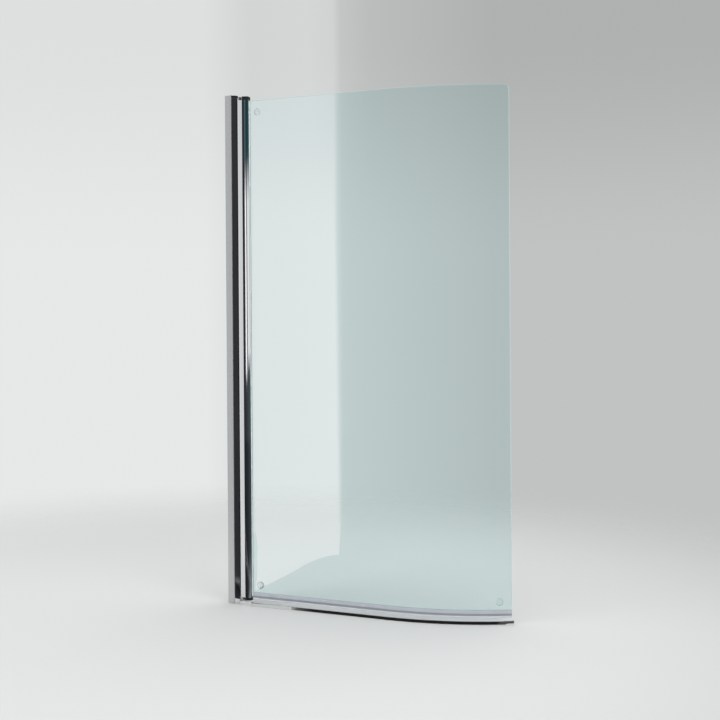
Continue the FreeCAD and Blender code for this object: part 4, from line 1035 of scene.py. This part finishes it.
def card_paint(name, colour, strength=1.0):
    """A glowing paint, thin where the card isn't solid; colour may be {azimuth in degrees: colour}."""
    paint = bpy.data.materials.new(name)
    paint.use_nodes = True
    tree = paint.node_tree
    if isinstance(colour, dict):
        place = add_node(tree, "ShaderNodeTexCoord")["Object"]
        spot = add_node(tree, "ShaderNodeSeparateXYZ", {"Vector": place})
        aside = maths(tree, "SUBTRACT", spot["X"], CENTRE_X)
        azimuth = maths(tree, "ARCTAN2", aside, maths(tree, "MULTIPLY", spot["Y"], -1.0))
        colour = ramped(tree, azimuth, colour, math.radians(1))
    else:
        colour = (*colour, 1)
    glow = add_node(tree, "ShaderNodeEmission", {"Color": colour, "Strength": strength})["Emission"]
    thinned(tree, glow, add_node(tree, "ShaderNodeAttribute", attribute_name="solid")["Fac"])
    return paint


def upright(name, azimuths, distance, levels, paint, shows_in=()):
    """An upright card curved round the hinge. Azimuths and levels each come with how solid it is there."""
    card(name, [[(*around(azimuth, distance, z), solid * level) for azimuth, solid in azimuths]
                for z, level in levels], paint, shows_in)


# The dark side of the room, and in front of it two coloured cards and two light ones.
tall = ((-0.5, 1.0), (3.6, 1.0))
high_up = ((1.8, 1.0), (3.4, 1.0))
dark_span = [(-21.8, 0.0)] + [(-19.5 + 9.0 * i, 1.0) for i in range(11)] + [(84.0, 0.0)]
upright("dark_card", dark_span, 4.5, tall, card_paint("dark_paint", {
    -12: (0.010, 0.011, 0.014), 5: (0.040, 0.046, 0.055), 16: (0.068, 0.090, 0.098),
    24: (0.036, 0.035, 0.038), 88: (0.015, 0.015, 0.016)}))
upright("steel_card", ((0.2, 0.0), (1.2, 1.0), (5.0, 1.0), (6.0, 0.0)), 4.4, high_up,
        card_paint("steel_paint", (0.085, 0.11, 0.135)))
upright("teal_card", ((6.0, 0.0), (7.0, 1.0), (12.0, 1.0), (20.0, 0.0)), 4.4, high_up,
        card_paint("teal_paint", (0.007, 0.050, 0.053)))
upright("narrow_light", ((1.5, 1.0), (6.3, 1.0)), 4.35, ((0.36, 0.0), (0.46, 1.0), (1.57, 1.0), (1.84, 0.0)),
        card_paint("narrow_light", (1, 1, 1), 1.15), (post, hinge))
upright("wide_light", ((9.3, 1.0), (18.5, 1.0)), 4.35, ((0.44, 0.0), (0.58, 1.0), (1.57, 1.0), (1.87, 0.0)),
        card_paint("wide_light", (1, 1, 1), 0.86), (post, hinge))

# Grey cards on the bath side, with gaps between them.
grey_paint = card_paint("grey_paint", (0.13, 0.135, 0.14))
for first in (118, 150, 181, 214, 240):
    upright("back_card", ((first, 0.0), (first + 3, 1.0), (first + 9, 1.0), (first + 12, 0.0)), 5.0, tall,
            grey_paint)

# The pale card and its foot on the floor, which the front of the glass shows over its left third.
pale_paint = card_paint("pale_paint", (3.65, 2.62, 2.62))
clear_pieces = (pane, buttons, seal)
pale_rows = []
for z, level, lean in ((0.0, 1.0, 0.007), (1.2, 1.0, -0.006), (1.58, 0.66, -0.004), (1.9, 0.6, -0.003)):
    pale_rows.append([(-0.418, -0.88, z, 0.0), (-0.428, -0.96, z, level),
                      (-0.210 + lean, -1.217, z, level), (-0.198 + lean, -1.231, z, 0.0)])
card("pale_card", pale_rows, pale_paint, clear_pieces)
left_side = ((0.003, -0.15), (-0.10, -0.35), (-0.205, -0.55), (-0.262, -0.66), (-0.283, -0.70),
             (-0.43, -0.96))
right_side = ((0.004, -0.15), (0.003, -0.35), (-0.012, -0.55), (0.0, -0.66), (0.03, -0.70),
              (-0.198, -1.231))
card("pale_floor_card", [[(x, y, 0.0014, 1.0) for x, y in side] for side in (left_side, right_side)],
     pale_paint, clear_pieces)

# Clear glass throws next to no shadow.
pane.visible_shadow = False

# The dark floor in front of the strip: it starts close to the strip and follows the bow.
near_side = [(0.056, -0.045, 1.0), (0.192, -0.062, 1.0), (0.200, -0.023, 0.35), (0.216, -0.023, 0.85),
             (0.26, -0.023, 1.0), (BOW_X * MM, -0.023, 1.0)]
for degree in range(1, 31):
    turn = math.radians(degree)
    radius = 0.704 if degree < 27 else 0.7155
    solid = 1.0 if degree < 25 else 0.9
    near_side.append((BOW_X * MM + radius * math.sin(turn), BOW_RADIUS * MM - radius * math.cos(turn), solid))
near_side += [(0.95, 0.125, 1.0), (1.3, 0.3, 1.0)]
shares = [i / (len(near_side) - 1) for i in range(len(near_side))]
far_side = [(-1.55 + 6.5 * share, -4.25 + 3.6 * share ** 3, 1.0) for share in shares]
far_side[1] = (-0.9, -4.25, 1.0)
card("floor_card", [[(x, y, 0.001, solid) for x, y, solid in side] for side in (near_side, far_side)],
     card_paint("dim_paint", {
         -12: (0.008, 0.009, 0.011), 8: (0.026, 0.031, 0.036), 16: (0.050, 0.064, 0.070),
         24: (0.030, 0.031, 0.033), 88: (0.015, 0.015, 0.016)}))

# The lit floor at the foot of the hinge, which fades away from it.
foot_span = ((3, 0.0), (8, 0.35), (13, 0.75), (18, 1.0), (20, 0.0))
card("rim_card", [[(*around(azimuth, distance, 0.0015), solid * share) for azimuth, solid in foot_span]
                  for distance, share in ((0.075, 1.0), (0.75, 0.0))],
     card_paint("rim_paint", (0.30, 0.31, 0.32)), (hinge,))

for name, place, aim, power, size in (("left_lamp", (-2.2, -2.2, 2.6), (0.3, 0, 0.7), 50, 2.0),
                                      ("right_lamp", (2.7, -1.8, 1.3), (0.1, 0, 0.7), 36, 1.6),
                                      ("top_lamp", (0.6, 0.2, 3.4), (0.4, 0, 0), 44, 2.4)):
    lamp = bpy.data.lights.new(name, "AREA")
    lamp.energy = power
    lamp.size = size
    stand = bpy.data.objects.new(name, lamp)
    stand.location = place
    stand.rotation_euler = (Vector(aim) - Vector(place)).to_track_quat("-Z", "Y").to_euler()
    stand.visible_glossy = False
    stand.visible_transmission = False
    bpy.context.scene.collection.objects.link(stand)

# ---- Camera --------------------------------------------------------------------------------------
# It stands outside the bath, to the right, at chest height, and looks a little left of square.

lens = bpy.data.cameras.new("camera")
camera = bpy.data.objects.new("camera", lens)
bpy.context.scene.collection.objects.link(camera)
bpy.context.scene.camera = camera
lens.sensor_width = 36.0
lens.lens = 56.73
lens.shift_y = -0.0528
lens.clip_start = 0.01
camera.location = (1.609, -2.8346, 0.8198)
facing = Matrix.Identity(3)
for degrees, line in ((22.972, "Z"), (89.612, "X"), (-0.372, "Z")):
    facing = facing @ Matrix.Rotation(math.radians(degrees), 3, line)
camera.rotation_euler = facing.to_euler()
